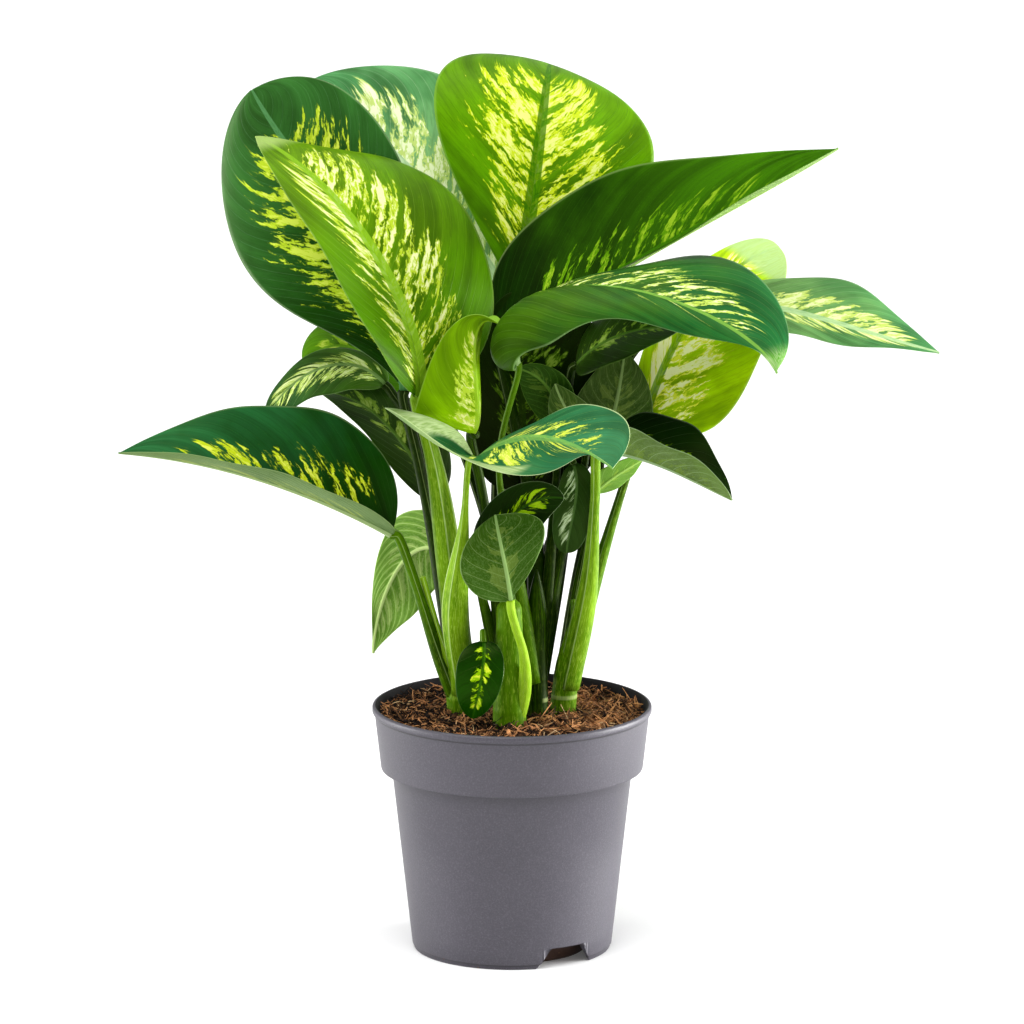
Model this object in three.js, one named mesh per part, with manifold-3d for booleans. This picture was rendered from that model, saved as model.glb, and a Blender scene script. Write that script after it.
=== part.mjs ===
// A potted dieffenbachia, in millimetres. +Z is up, the front faces -Y, and the origin is the
// middle of the pot's underside.
import * as THREE from 'three';
import Module from 'manifold-3d';

const wasm = await Module();
wasm.setup();

// Clearance between pieces that touch.
const GAP = 0.3;
const STALK_GAP = 0.65;

// The pot: a tapered body, a collar that stands out from it and a thin rolled lip.
const POT_HEIGHT = 151;
const RIM_RADIUS = 85;
const COLLAR_TOP_RADIUS = 83.6;
const COLLAR_LOW_RADIUS = 79.8;
const COLLAR_LOW = 112;
const BODY_TOP_RADIUS = 73.2;
const BODY_LOW_RADIUS = 60.9;
const FOOT_RADIUS = 59.9;
const FOOT_HEIGHT = 2.4;
const POT_WALL = 1.8;
const SHELF_HEIGHT = 13;
const PAD_RADIUS = 46;
const POT_FLOOR = 2.2;
const POT_SIDES = 48;
const NOTCH_ANGLES = [33, 213];
const NOTCH_HEIGHT = 12.5;
const NOTCH_LOW_HALF = 19;
const NOTCH_TOP_HALF = 11;

const SOIL_TOP = 145.5;
const SOIL_RADIUS = 80.6;
const HOLE_DEPTH = 34;

// A blade is a curved sheet about a millimetre thick with a ridge under its midrib.
const BLADE_THICK = 0.9;
const RIDGE_THICK = 1.5;
const RIDGE_HALF = 1.9;
const STALK_HALF = 3.2;
const TIP_HALF = 0.7;
const BROAD_BLADE = { stations: 10, across: [1, 0.64, 0.28] };
const SMALL_BLADE = { stations: 8, across: [1, 0.5] };
const BROAD_FROM = 32;

const STALK_SIDES = 6;
const STALK_STEPS = 8;

const MID_GREEN = '#2f6b1c';
const BRIGHT_GREEN = '#6f9f16';
const DARK_GREEN = '#143d14';
const GREY_GREEN = '#6f8f5c';
const STALK_GREEN = '#7fae35';

// Each shoot: where its cane stands, the cane's radius and the share of it left at
// the top, the height it ends at and how far it leans.
const SHOOTS = {
  shoot_left: { at: [-30, -3], radius: 9.8, slim: 0.85, top: 186, lean: [-2, -4] },
  shoot_front: { at: [-1.5, -37], radius: 10.2, slim: 0.7, top: 208, lean: [0, -3] },
  shoot_middle: { at: [15, -11], radius: 6.8, slim: 0.9, top: 222, lean: [0, 1] },
  shoot_right: { at: [31, -2], radius: 8, slim: 0.8, top: 188, lean: [5, -2] },
  shoot_back: { at: [0, 30], radius: 8, slim: 0.8, top: 190, lean: [0, 2] },
};

// Sheaths that end free, beside the stalks.
const SPURS = [
  { from: 'shoot_left', points: [[-36, -8, 178], [-44, -13, 198], [-54, -17, 234]], girth: [5, 2] },
  { from: 'shoot_right', points: [[34, -3, 168], [37, -3, 190], [37, -4, 217]], girth: [4.5, 1.6] },
];

// Each leaf. The midrib (rib) is the cubic through four points from base to tip. Left and right are
// as seen from above with the tip ahead. face is the way the upper side looks at mid length. half
// holds the widest half widths, fold and curl hold degrees (left at base, left at tip, right at base,
// right at tip): fold lifts a half at the midrib, curl bends it on towards its margin. shape holds
// the two powers of each side's outline, wave the height, count and start of the margin's waves.
// sweep draws each half's base back beside the stalk, as the lobes of a heart shape are.
// stalk holds the points that the leaf stalk passes, girth its radius at the cane and at the blade,
// sheath the share of its length at which the wide sheath ends.
const LEAVES = {
  leaf_top_centre: {
    rib: [[2, 40, 388], [10, 44, 439], [19, 66, 506], [23, 114, 526]],
    face: [0.05, -1, 0.25], half: [68, 71], fold: [13, 18, 19, 13], curl: [-5, -26, -24, -31],
    shape: [1.46, 0.66, 1.18, 0.99], wave: [1, 3, 0.26], tint: BRIGHT_GREEN,
    from: 'shoot_back', stalk: [[1, 31, 170], [2, 34, 260], [1, 38, 340]], girth: [6.5, 3.4],
  },
  leaf_top_back_left: {
    rib: [[-6, 58, 393], [-16, 58, 410], [-63, 72, 467], [-121, 88, 521]],
    face: [0.35, -1, 0.3], half: [50, 68], fold: [24, 17, 18, 14], curl: [-10, -28, -17, -28],
    shape: [0.86, 0.62, 0.78, 0.81], wave: [1.5, 3, -0.43], tint: GREY_GREEN,
    from: 'shoot_back', stalk: [[-3, 34, 170], [-8, 46, 260], [-6, 56, 340]], girth: [6, 3.2],
  },
  leaf_left_broad: {
    rib: [[-65, 0, 345], [-78, 4, 405], [-119, 14, 470], [-156, 12, 527]],
    face: [0.15, -1, 0.25], half: [66, 53], fold: [18, -18, 8, 19], curl: [-14, -48, 5, -40],
    shape: [1.12, 0.79, 1.12, 0.48], wave: [1, 3, -0.17], tint: DARK_GREEN,
    from: 'shoot_left', stalk: [[-32, 0, 165], [-44, -2, 240], [-56, -1, 300]], girth: [6, 3.4],
  },
  leaf_front_bright: {
    rib: [[-56, -40, 350], [-62, -47, 391], [-105, -46, 469], [-153, -15, 503]],
    face: [0.4, -1, 0.35], half: [47, 78], fold: [43, 47, 20, -26], curl: [-17, -21, -20, -50],
    shape: [0.77, 0.93, 0.5, 0.5], wave: [2, 3, 0.51], tint: BRIGHT_GREEN,
    from: 'shoot_left', stalk: [[-31, -6, 160], [-38, -18, 240], [-46, -34, 304]], girth: [7.5, 4.4],
    sheath: 0.45,
  },
  leaf_right_dark: {
    rib: [[-2, 14, 370], [36, 12, 398], [136, -5, 460], [195, -15, 496]],
    face: [-0.5, -0.45, 0.75], half: [58, 26], fold: [40, 35, 35, 40], curl: [5, 5, 0, 0],
    shape: [0.45, 1.05, 1.2, 0.6], wave: [2, 2, 0.3], tint: DARK_GREEN,
    from: 'shoot_middle', stalk: [[15, -7, 170], [13, 6, 260], [1, 13, 325]], girth: [6, 3.4],
  },
  leaf_front_young: {
    rib: [[-22, -41, 327], [-21, -45, 357], [-15, -47, 397], [-7, -53, 396]],
    face: [0.2, -1, 0.15], half: [39.5, 15], fold: [-3, 1, -69, -56], curl: [-15, 13, -18, -12],
    shape: [0.2, 1.06, 0.25, 0.5], wave: [0.6, 2, 0.43], tint: BRIGHT_GREEN,
    from: 'shoot_front', stalk: [[-3, -33, 168], [-9, -27, 230], [-18, -33, 290]], girth: [5.5, 3],
  },
  leaf_right_arching: {
    rib: [[3, -28, 367], [16, -42, 408], [83, -64, 416], [156, -110, 378]],
    face: [0.1, -0.45, 1], half: [65, 56], fold: [-14, 13, 104, -8], curl: [-40, -22, -211, -40],
    shape: [2.5, 1.58, 0.41, 1.96], wave: [5.4, 2, -0.06], ease: 0.7, tint: MID_GREEN,
    from: 'shoot_middle', stalk: [[13, -13, 168], [2, -16, 235], [-8, -22, 305]], girth: [6, 1.9],
  },
  leaf_front_curled: {
    rib: [[-22, -71, 318], [5, -95, 336], [32, -121, 338], [59, -141, 327]],
    face: [0.1, -0.86, 1], half: [33, 54], fold: [-14, 13, 16, -150], curl: [5, 0, 225, -24],
    shape: [1.3, 0.4, 0.2, 1.7], wave: [1.5, 2, 0.1], ease: 0.87, sweep: [0, 74], tint: MID_GREEN,
    from: 'shoot_left', stalk: [[-28, -8, 160], [-34, -30, 215], [-29, -54, 272]], girth: [8.2, 1.9],
    sheath: 0.42,
  },
  leaf_left_level: {
    rib: [[-73, -25, 262], [-106, -36, 281], [-171, -50, 307], [-235, -58, 319]],
    face: [0.1, -0.33, 0.94], half: [22, 52], fold: [49, 37, 64, 28], curl: [3, 20, -7, 6],
    shape: [0.38, 0.71, 0.58, 1.07], wave: [1, 3, 0.85], tint: DARK_GREEN,
    from: 'shoot_left', stalk: [[-35, -5, 158], [-46, -12, 190], [-58, -20, 230]], girth: [5, 3],
  },
  leaf_left_grey: {
    rib: [[-77, 20, 345], [-104, 22, 357], [-135, 18, 343], [-148, 8, 324]],
    face: [-0.2, -0.5, 1], half: [23, 13], fold: [1, 11, 24, 29], curl: [-24, -26, -26, -8],
    shape: [0.45, 0.63, 0.32, 0.67], wave: [1.1, 2, -0.08], tint: GREY_GREEN,
    from: 'shoot_left', stalk: [[-31, 0, 168], [-42, 4, 250], [-58, 11, 315]], girth: [5, 2.8],
  },
  leaf_left_behind: {
    rib: [[-58, 60, 335], [-78, 63, 350], [-105, 65, 360], [-127, 66, 350]],
    face: [-0.2, -0.6, 1], half: [20, 26], fold: [10, 10, 10, 10], curl: [-20, -20, -20, -20],
    shape: [0.5, 0.6, 0.5, 0.5], wave: [0.8, 2, 0.2], tint: MID_GREEN,
    from: 'shoot_back', stalk: [[-3, 32, 165], [-10, 48, 235], [-34, 58, 305]], girth: [5, 2.6],
  },
  leaf_left_under: {
    rib: [[-48, 17, 275], [-61, 25, 299], [-93, 42, 329], [-116, 55, 333]],
    face: [0.3, -0.6, 1], half: [20, 30], fold: [10, 10, 10, 10], curl: [-10, -10, -10, -10],
    shape: [0.5, 0.7, 0.5, 0.7], wave: [0.8, 2, 0.2], tint: GREY_GREEN,
    from: 'shoot_left', stalk: [[-30, 3, 165], [-36, 10, 215], [-42, 14, 250]], girth: [5, 2.8],
  },
  leaf_left_low: {
    rib: [[-38, 25, 238], [-54, 38, 240], [-74, 52, 216], [-85, 50, 171]],
    face: [0.2, 1, 0.5], half: [26, 26], fold: [22, 18, 13, -15], curl: [-8, 28, -14, -48],
    shape: [0.2, 1.55, 0.92, 1.09], wave: [2.6, 3, 0.36], tint: GREY_GREEN,
    from: 'shoot_left', stalk: [[-30, 4, 165], [-31, 12, 195], [-34, 19, 225]], girth: [4.5, 2.8],
  },
  leaf_far_right: {
    rib: [[118, 20, 396], [163, 20, 391], [205, 14, 381], [258, 8, 367]],
    face: [0, -0.38, 0.92], half: [39, 29], fold: [15, 15, 10, 2], curl: [-6, -29, -20, -2],
    shape: [1.2, 1.1, 0.2, 1], wave: [2.2, 2, 0.13], tint: MID_GREEN,
    from: 'shoot_back', stalk: [[3, 30, 165], [30, 28, 260], [70, 20, 360]], girth: [5.5, 2.8],
  },
  leaf_right_bright: {
    rib: [[80, 20, 320], [90, 24, 350], [118, 45, 394], [163, 78, 419]],
    face: [-0.3, -1, 0.45], half: [20, 56], fold: [11, 3, 6, 10], curl: [-28, -19, 1, 10],
    shape: [0.43, 0.3, 0.3, 0.56], wave: [1, 2, 0.04], tint: BRIGHT_GREEN,
    from: 'shoot_right', stalk: [[34, 0, 165], [50, 6, 225], [68, 14, 285]], girth: [5, 2.6],
  },
  leaf_right_front: {
    rib: [[56, -20, 312], [77, -35, 311], [109, -58, 302], [131, -75, 294]],
    face: [0, -0.12, 1], half: [34, 37], fold: [38, 38, 44, 58], curl: [4, -4, -4, 2],
    shape: [0.34, 0.88, 0.24, 0.48], wave: [2, 2, 0.23], tint: DARK_GREEN,
    from: 'shoot_right', stalk: [[34, -5, 163], [46, -13, 225], [50, -15, 280]], girth: [7, 3],
  },
  leaf_right_lobe: {
    rib: [[50, 2, 282], [56, 0, 288], [68, -2, 297], [79, 0, 303]],
    face: [0.2, 0.8, 1], half: [11, 11], fold: [5, 5, 5, 5], curl: [-5, -5, -5, -5],
    shape: [0.5, 0.7, 0.5, 0.7], wave: [0.4, 2, 0.2], tint: MID_GREEN,
    from: 'shoot_right', stalk: [[32, 2, 168], [40, 4, 220], [47, 4, 262]], girth: [4, 2.4],
  },
  leaf_centre_grey: {
    rib: [[56, 14, 310], [62, 10, 332], [66, 10, 353], [68, 15, 367]],
    face: [-0.1, 1, 0.2], half: [24, 26], fold: [5, 5, 5, 5], curl: [-20, -20, -20, -20],
    shape: [0.4, 0.8, 0.4, 0.8], wave: [0.8, 2, 0.2], tint: GREY_GREEN,
    from: 'shoot_right', stalk: [[31, 2, 168], [42, 12, 235], [52, 16, 285]], girth: [4.5, 2.6],
  },
  leaf_centre_under: {
    rib: [[28, 3, 321], [26, -1, 339], [17, -8, 354], [4, -15, 362]],
    face: [0, 1, 0.3], half: [13, 16], fold: [5, 5, 5, 5], curl: [-10, -10, -10, -10],
    shape: [0.5, 0.6, 0.5, 0.6], wave: [0.6, 2, 0.2], tint: DARK_GREEN,
    from: 'shoot_middle', stalk: [[17, -8, 170], [23, 1, 240], [27, 5, 295]], girth: [4.5, 2.6],
  },
  leaf_centre_small: {
    rib: [[44, 0, 312], [40, -8, 323], [32, -12, 338], [26, -12, 352]],
    face: [0, 1, 0.3], half: [14, 14], fold: [5, 5, 5, 5], curl: [-10, -10, -10, -10],
    shape: [0.5, 0.8, 0.5, 0.8], wave: [0.6, 2, 0.2], tint: GREY_GREEN,
    from: 'shoot_middle', stalk: [[17, -8, 170], [28, 2, 235], [41, 5, 285]], girth: [4, 2.4],
  },
  leaf_centre_shade: {
    rib: [[42, 0, 362], [55, -8, 376], [76, -14, 385], [101, -20, 387]],
    face: [0, -0.5, 1], half: [22, 20], fold: [20, 10, 10, 10], curl: [-30, -10, -10, -10],
    shape: [0.5, 0.7, 0.5, 0.7], wave: [0.6, 2, 0.2], tint: DARK_GREEN,
    from: 'shoot_middle', stalk: [[18, -6, 170], [32, 12, 260], [34, 14, 330]], girth: [4.5, 2.6],
  },
  leaf_centre_back: {
    rib: [[8, 20, 280], [7, 20, 312], [5, 21, 350], [-1, 24, 394]],
    face: [0.05, -1, 0.05], half: [33, 42], fold: [5, 5, 5, 5], curl: [-5, -5, -5, -5],
    shape: [0.3, 0.55, 0.3, 0.55], wave: [1, 2, 0.2], tint: DARK_GREEN,
    from: 'shoot_back', stalk: [[3, 29, 170], [8, 27, 215], [9, 23, 250]], girth: [4.5, 2.6],
  },
  leaf_front_oval: {
    rib: [[-1, -64, 230], [-3, -68, 246], [-7, -70, 267], [-10, -62, 282]],
    face: [0.05, 1, 0.2], half: [28, 27], fold: [14, 27, -12, 3], curl: [6, -37, -33, -7],
    shape: [1.1, 0.35, 0.62, 0.76], wave: [1.5, 2, 0.28], tint: GREY_GREEN,
    from: 'shoot_front', stalk: [[2, -40, 160], [6, -50, 190], [4, -59, 212]], girth: [6, 2.8],
  },
  leaf_centre_dark: {
    rib: [[-18, -45, 252], [-8, -48, 270], [14, -50, 288], [31, -56, 291]],
    face: [0.3, -0.8, 0.6], half: [15, 18], fold: [10, 10, 10, 10], curl: [-10, -10, -10, -10],
    shape: [0.5, 0.6, 0.5, 0.6], wave: [0.8, 2, 0.2], tint: DARK_GREEN,
    from: 'shoot_front', stalk: [[-4, -34, 168], [-13, -26, 203], [-20, -36, 235]], girth: [4.5, 2.4],
  },
  leaf_front_tiny: {
    rib: [[-17, -47, 201], [-17, -53, 191], [-20, -56, 172], [-24, -53, 155]],
    face: [0, -1, 0.1], half: [13, 16], fold: [10, 10, 10, 10], curl: [-10, -10, -10, -10],
    shape: [0.4, 0.6, 0.4, 0.6], wave: [0.6, 2, 0.2], tint: DARK_GREEN,
    from: 'shoot_front', stalk: [[-7, -38, 165], [-14, -40, 182], [-17, -41, 193]], girth: [3.5, 2],
  },
  leaf_right_dim: {
    rib: [[37, 0, 300], [39, -7, 289], [36, -9, 266], [33, -8, 247]],
    face: [0, -1, 0.1], half: [12, 12], fold: [5, 5, 5, 5], curl: [-5, -5, -5, -5],
    shape: [0.4, 0.4, 0.4, 0.4], wave: [0.5, 2, 0.2], tint: DARK_GREEN,
    from: 'shoot_middle', stalk: [[17, -6, 170], [27, 6, 240], [36, 11, 288]], girth: [4, 2.4],
  },
};

const lerp = (a, b, t) => a + (b - a) * t;
const radians = (degrees) => (degrees * Math.PI) / 180;
const vector = (p) => new THREE.Vector3(...p);

// The cubic through four points, each at its share of the path's length.
function cubicThrough(points) {
  const p = points.map(vector);
  const far = [0];
  for (let i = 1; i < 4; i += 1) {
    far.push(far[i - 1] + p[i].distanceTo(p[i - 1]));
  }
  const at = far.map((d) => d / far[3]);
  return (t) => {
    const sum = new THREE.Vector3();
    for (let i = 0; i < 4; i += 1) {
      let weight = 1;
      for (let j = 0; j < 4; j += 1) {
        if (j !== i) weight *= (t - at[j]) / (at[i] - at[j]);
      }
      sum.addScaledVector(p[i], weight);
    }
    return sum;
  };
}

function tangentOf(curve, t) {
  return curve(t + 0.002).sub(curve(t - 0.002)).normalize();
}

function squareTo(normal, tangent) {
  return normal.clone().addScaledVector(tangent, -normal.dot(tangent)).normalize();
}

// Frames along the midrib that don't spin about it, set by the face at mid length.
function framesAlong(leaf) {
  const curve = cubicThrough(leaf.rib);
  const steps = 48;
  const tangents = [];
  for (let i = 0; i <= steps; i += 1) tangents.push(tangentOf(curve, i / steps));
  const normals = new Array(steps + 1);
  const middle = steps / 2;
  normals[middle] = squareTo(vector(leaf.face), tangents[middle]);
  for (let i = middle + 1; i <= steps; i += 1) normals[i] = squareTo(normals[i - 1], tangents[i]);
  for (let i = middle - 1; i >= 0; i -= 1) normals[i] = squareTo(normals[i + 1], tangents[i]);
  const ahead = curve(1).sub(curve(0)).normalize();
  return (s) => {
    const place = Math.min(Math.max(s, 0), 1) * steps;
    const i = Math.min(Math.floor(place), steps - 1);
    const tangent = tangentOf(curve, s);
    const normal = squareTo(normals[i].clone().lerp(normals[i + 1], place - i), tangent);
    const side = new THREE.Vector3().crossVectors(tangent, normal);
    return { origin: curve(s), normal, side, ahead };
  };
}

// Half width at s, as a share of the widest: s to the power a times 1 - s to the power b.
function outline(a, b, s) {
  const peak = a / (a + b);
  return (s ** a * (1 - s) ** b) / (peak ** a * (1 - peak) ** b);
}

// The point of the blade's middle sheet at s along and u across, from -1 left to 1 right.
function sheetPoint(leaf, frameAt, s, u) {
  const { origin, normal, side, ahead } = frameAt(s);
  const hand = u < 0 ? 0 : 1;
  const across = Math.abs(u);
  const share = outline(leaf.shape[2 * hand], leaf.shape[2 * hand + 1], s);
  const width = Math.max(leaf.half[hand] * share, lerp(STALK_HALF, TIP_HALF, s));
  const mix = s ** (leaf.ease ?? 1);
  const fold = radians(lerp(leaf.fold[2 * hand], leaf.fold[2 * hand + 1], mix));
  const curl = radians(lerp(leaf.curl[2 * hand], leaf.curl[2 * hand + 1], mix)) + 1e-4;
  const out = (Math.sin(fold + curl * across) - Math.sin(fold)) / curl;
  const up = (Math.cos(fold) - Math.cos(fold + curl * across)) / curl;
  const [height, count, start] = leaf.wave;
  const swing = Math.sin(Math.PI * 2 * (count * s + start + 0.37 * hand));
  const wave = height * across * across * swing * Math.sin(Math.PI * s);
  const reach = (leaf.sweep ? leaf.sweep[hand] : 0) * Math.min(1, s / 0.1) * (1 - s) ** 3;
  const back = reach * share * across * across;
  return origin
    .addScaledVector(ahead, -back)
    .addScaledVector(side, (hand ? 1 : -1) * out * width)
    .addScaledVector(normal, up * width + wave);
}

// The way the upper side looks at s and u.
function sheetNormal(leaf, frameAt, s, u) {
  const along = Math.min(Math.max(s, 0.005), 0.995);
  const across = Math.min(Math.max(u, -0.98), 0.98);
  const right = sheetPoint(leaf, frameAt, along, across + 0.02);
  right.sub(sheetPoint(leaf, frameAt, along, across - 0.02));
  const ahead = sheetPoint(leaf, frameAt, along + 0.004, across);
  ahead.sub(sheetPoint(leaf, frameAt, along - 0.004, across));
  return new THREE.Vector3().crossVectors(right, ahead).normalize();
}

function closedGeometry(positions, triangles) {
  const geometry = new THREE.BufferGeometry();
  geometry.setAttribute('position', new THREE.Float32BufferAttribute(positions, 3));
  geometry.setIndex(triangles);
  return geometry;
}

// A blade: the sheet moved out along its normal on both sides, split alike on both faces.
function bladeGeometry(leaf) {
  const frameAt = framesAlong(leaf);
  const wide = Math.max(...leaf.half);
  const { stations, across } = wide < BROAD_FROM ? SMALL_BLADE : BROAD_BLADE;
  const near = RIDGE_HALF / wide;
  const columns = [...across.map((u) => -u), -near, 0, near, ...[...across].reverse()];
  const n = columns.length;
  const tops = [];
  const unders = [];
  for (let i = 0; i <= stations; i += 1) {
    const even = i / stations;
    const s = lerp(even, (1 - Math.cos(Math.PI * even)) / 2, 0.75);
    for (const u of columns) {
      const point = sheetPoint(leaf, frameAt, s, u);
      const normal = sheetNormal(leaf, frameAt, s, u);
      const ridge = u === 0 ? RIDGE_THICK * (1 - s) ** 0.6 + 0.2 : 0;
      tops.push(point.clone().addScaledVector(normal, BLADE_THICK / 2));
      unders.push(point.clone().addScaledVector(normal, -BLADE_THICK / 2 - ridge));
    }
  }
  const positions = [...tops, ...unders].flatMap((p) => p.toArray());
  const shift = tops.length;
  const triangles = [];
  const wall = (a, b) => triangles.push(a, b, b + shift, a, b + shift, a + shift);
  for (let i = 0; i < stations; i += 1) {
    for (let j = 0; j < n - 1; j += 1) {
      const a = i * n + j;
      const [b, c, d] = [a + 1, a + n + 1, a + n];
      const split = j < (n - 1) / 2 ? [a, b, d, b, c, d] : [a, b, c, a, c, d];
      triangles.push(...split);
      for (let k = 0; k < 6; k += 3) {
        triangles.push(split[k] + shift, split[k + 2] + shift, split[k + 1] + shift);
      }
    }
    wall(i * n, (i + 1) * n);
    wall((i + 1) * n + n - 1, i * n + n - 1);
  }
  for (let j = 0; j < n - 1; j += 1) {
    wall(j + 1, j);
    wall(stations * n + j, stations * n + j + 1);
  }
  return closedGeometry(positions, triangles);
}

// A point of the even Catmull-Rom curve through the given points.
function throughPoints(points, t) {
  const count = points.length - 1;
  const place = Math.min(Math.max(t, 0), 1) * count;
  const i = Math.min(Math.floor(place), count - 1);
  const f = place - i;
  const [b, c] = [points[i], points[i + 1]];
  const a = i > 0 ? points[i - 1] : b.clone().multiplyScalar(2).sub(c);
  const d = i + 2 <= count ? points[i + 2] : c.clone().multiplyScalar(2).sub(b);
  const out = new THREE.Vector3();
  out.addScaledVector(a, -0.5 * f + f * f - 0.5 * f ** 3);
  out.addScaledVector(b, 1 - 2.5 * f * f + 1.5 * f ** 3);
  out.addScaledVector(c, 0.5 * f + 2 * f * f - 1.5 * f ** 3);
  out.addScaledVector(d, -0.5 * f * f + 0.5 * f ** 3);
  return out;
}

// A round stalk along points, its radius given at each share of its length.
function stalkGeometry(points, radiusAt, steps, sides) {
  const positions = [];
  const triangles = [];
  let normal = new THREE.Vector3(0, 1, 0);
  for (let i = 0; i <= steps; i += 1) {
    const t = i / steps;
    const tangent = throughPoints(points, Math.min(t + 0.004, 1));
    tangent.sub(throughPoints(points, Math.max(t - 0.004, 0))).normalize();
    normal = squareTo(normal, tangent);
    const side = new THREE.Vector3().crossVectors(tangent, normal);
    for (let k = 0; k < sides; k += 1) {
      const angle = (2 * Math.PI * k) / sides;
      const p = throughPoints(points, t);
      p.addScaledVector(normal, Math.cos(angle) * radiusAt(t));
      p.addScaledVector(side, Math.sin(angle) * radiusAt(t));
      positions.push(...p.toArray());
    }
  }
  const first = (steps + 1) * sides;
  const last = steps * sides;
  positions.push(...throughPoints(points, 0).toArray(), ...throughPoints(points, 1).toArray());
  for (let k = 0; k < sides; k += 1) {
    const next = (k + 1) % sides;
    for (let i = 0; i < steps; i += 1) {
      const a = i * sides + k;
      const b = i * sides + next;
      triangles.push(a, b, b + sides, a, b + sides, a + sides);
    }
    triangles.push(first, next, k, first + 1, last + k, last + next);
  }
  return closedGeometry(positions, triangles);
}

function solidOf(geometry) {
  const vertProperties = new Float32Array(geometry.attributes.position.array);
  const triVerts = new Uint32Array(geometry.index.array);
  const mesh = new wasm.Mesh({ numProp: 3, vertProperties, triVerts });
  mesh.merge();
  return new wasm.Manifold(mesh);
}

function geometryOf(solid) {
  const mesh = solid.getMesh();
  const positions = [];
  for (let i = 0; i < mesh.numVert; i += 1) {
    for (let k = 0; k < 3; k += 1) positions.push(mesh.vertProperties[i * mesh.numProp + k]);
  }
  return closedGeometry(positions, [...mesh.triVerts]);
}

// A leaf stalk: a wide sheath below, drawn in to a slender stalk about the given share of its length.
function taperedStalk(points, girth, sheath = 0.3) {
  const narrowed = (t) => Math.min(Math.max((t - sheath + 0.2) / 0.4, 0), 1);
  const radiusAt = (t) => lerp(girth[0], girth[1], narrowed(t) ** 2 * (3 - 2 * narrowed(t)));
  return solidOf(stalkGeometry(points, radiusAt, STALK_STEPS, STALK_SIDES));
}

// The last two points of a leaf stalk, which meets its blade end to end.
function stalkEnd(leaf) {
  const curve = cubicThrough(leaf.rib);
  const tangent = tangentOf(curve, 0);
  const end = curve(0).addScaledVector(tangent, -STALK_GAP);
  return [end.clone().addScaledVector(tangent, -7), end];
}

// A shoot: the cane that stands in the soil and the stalks that leave it, joined into one body.
function shootGeometry(name) {
  const { at, radius, slim, top, lean } = SHOOTS[name];
  const foot = [[at[0], at[1], SOIL_TOP - HOLE_DEPTH + GAP], [at[0], at[1], SOIL_TOP + 7]];
  const cane = [[at[0], at[1], SOIL_TOP + 3], [at[0] + lean[0], at[1] + lean[1], top]];
  const caneRadius = (t) => radius * lerp(0.97, slim, t);
  let solid = solidOf(stalkGeometry(foot.map(vector), () => radius, 1, 14));
  solid = solid.add(solidOf(stalkGeometry(cane.map(vector), caneRadius, 2, 14)));
  for (const leaf of Object.values(LEAVES)) {
    if (leaf.from === name) {
      const points = leaf.stalk.map(vector).concat(stalkEnd(leaf));
      solid = solid.add(taperedStalk(points, leaf.girth, leaf.sheath));
    }
  }
  for (const spur of SPURS) {
    if (spur.from === name) solid = solid.add(taperedStalk(spur.points.map(vector), spur.girth));
  }
  return geometryOf(solid);
}

function indexed(geometry) {
  const source = geometry.index ? geometry.toNonIndexed() : geometry;
  const positions = [...source.attributes.position.array];
  return closedGeometry(positions, positions.slice(0, positions.length / 3).map((_, i) => i));
}

// The pot is turned from one closed profile, then the drain notches are cut through its skirt.
function potGeometry() {
  const profile = [
    [0, 0], [PAD_RADIUS, 0], [PAD_RADIUS, SHELF_HEIGHT], [FOOT_RADIUS - 1.7, SHELF_HEIGHT],
    [FOOT_RADIUS - 1.7, 0], [FOOT_RADIUS, 0], [FOOT_RADIUS, FOOT_HEIGHT],
    [BODY_LOW_RADIUS, FOOT_HEIGHT + 0.2], [BODY_TOP_RADIUS, COLLAR_LOW],
    [COLLAR_LOW_RADIUS - 0.8, COLLAR_LOW], [COLLAR_LOW_RADIUS, COLLAR_LOW + 1],
    [COLLAR_TOP_RADIUS, POT_HEIGHT - 4.6], [RIM_RADIUS, POT_HEIGHT - 3.4],
    [RIM_RADIUS, POT_HEIGHT - 0.8], [RIM_RADIUS - 0.8, POT_HEIGHT],
    [RIM_RADIUS - 2.2, POT_HEIGHT], [RIM_RADIUS - 3, POT_HEIGHT - 1.2],
    [COLLAR_LOW_RADIUS - POT_WALL - 0.2, COLLAR_LOW + 3],
    [BODY_TOP_RADIUS - POT_WALL, COLLAR_LOW + 1],
    [BODY_LOW_RADIUS - POT_WALL + 1.4, SHELF_HEIGHT + 2],
    [PAD_RADIUS + 2, SHELF_HEIGHT + 2], [PAD_RADIUS + 2, POT_FLOOR], [0, POT_FLOOR],
  ];
  const turned = new THREE.LatheGeometry(profile.map((p) => new THREE.Vector2(...p)), POT_SIDES);
  turned.rotateX(Math.PI / 2);
  let pot = solidOf(turned);
  for (const angle of NOTCH_ANGLES) {
    const shape = new THREE.Shape([
      new THREE.Vector2(-NOTCH_LOW_HALF - 1, -1),
      new THREE.Vector2(NOTCH_LOW_HALF + 1, -1),
      new THREE.Vector2(NOTCH_TOP_HALF, NOTCH_HEIGHT),
      new THREE.Vector2(-NOTCH_TOP_HALF, NOTCH_HEIGHT),
    ]);
    const cutter = new THREE.ExtrudeGeometry(shape, { depth: 20, bevelEnabled: false });
    cutter.rotateX(Math.PI / 2);
    cutter.translate(0, -48, 0);
    cutter.rotateZ(radians(angle));
    pot = pot.subtract(solidOf(indexed(cutter)));
  }
  return geometryOf(pot);
}

function soilHeight(x, y) {
  const swells = Math.sin(x * 0.13 + 1) * Math.cos(y * 0.11);
  const ripples = 0.6 * Math.sin(x * 0.05 - y * 0.21 + 2);
  const edge = Math.hypot(x, y) / SOIL_RADIUS;
  return SOIL_TOP + 1.1 * (swells + ripples) - 1.6 * edge ** 4 - 0.012 * y;
}

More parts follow.
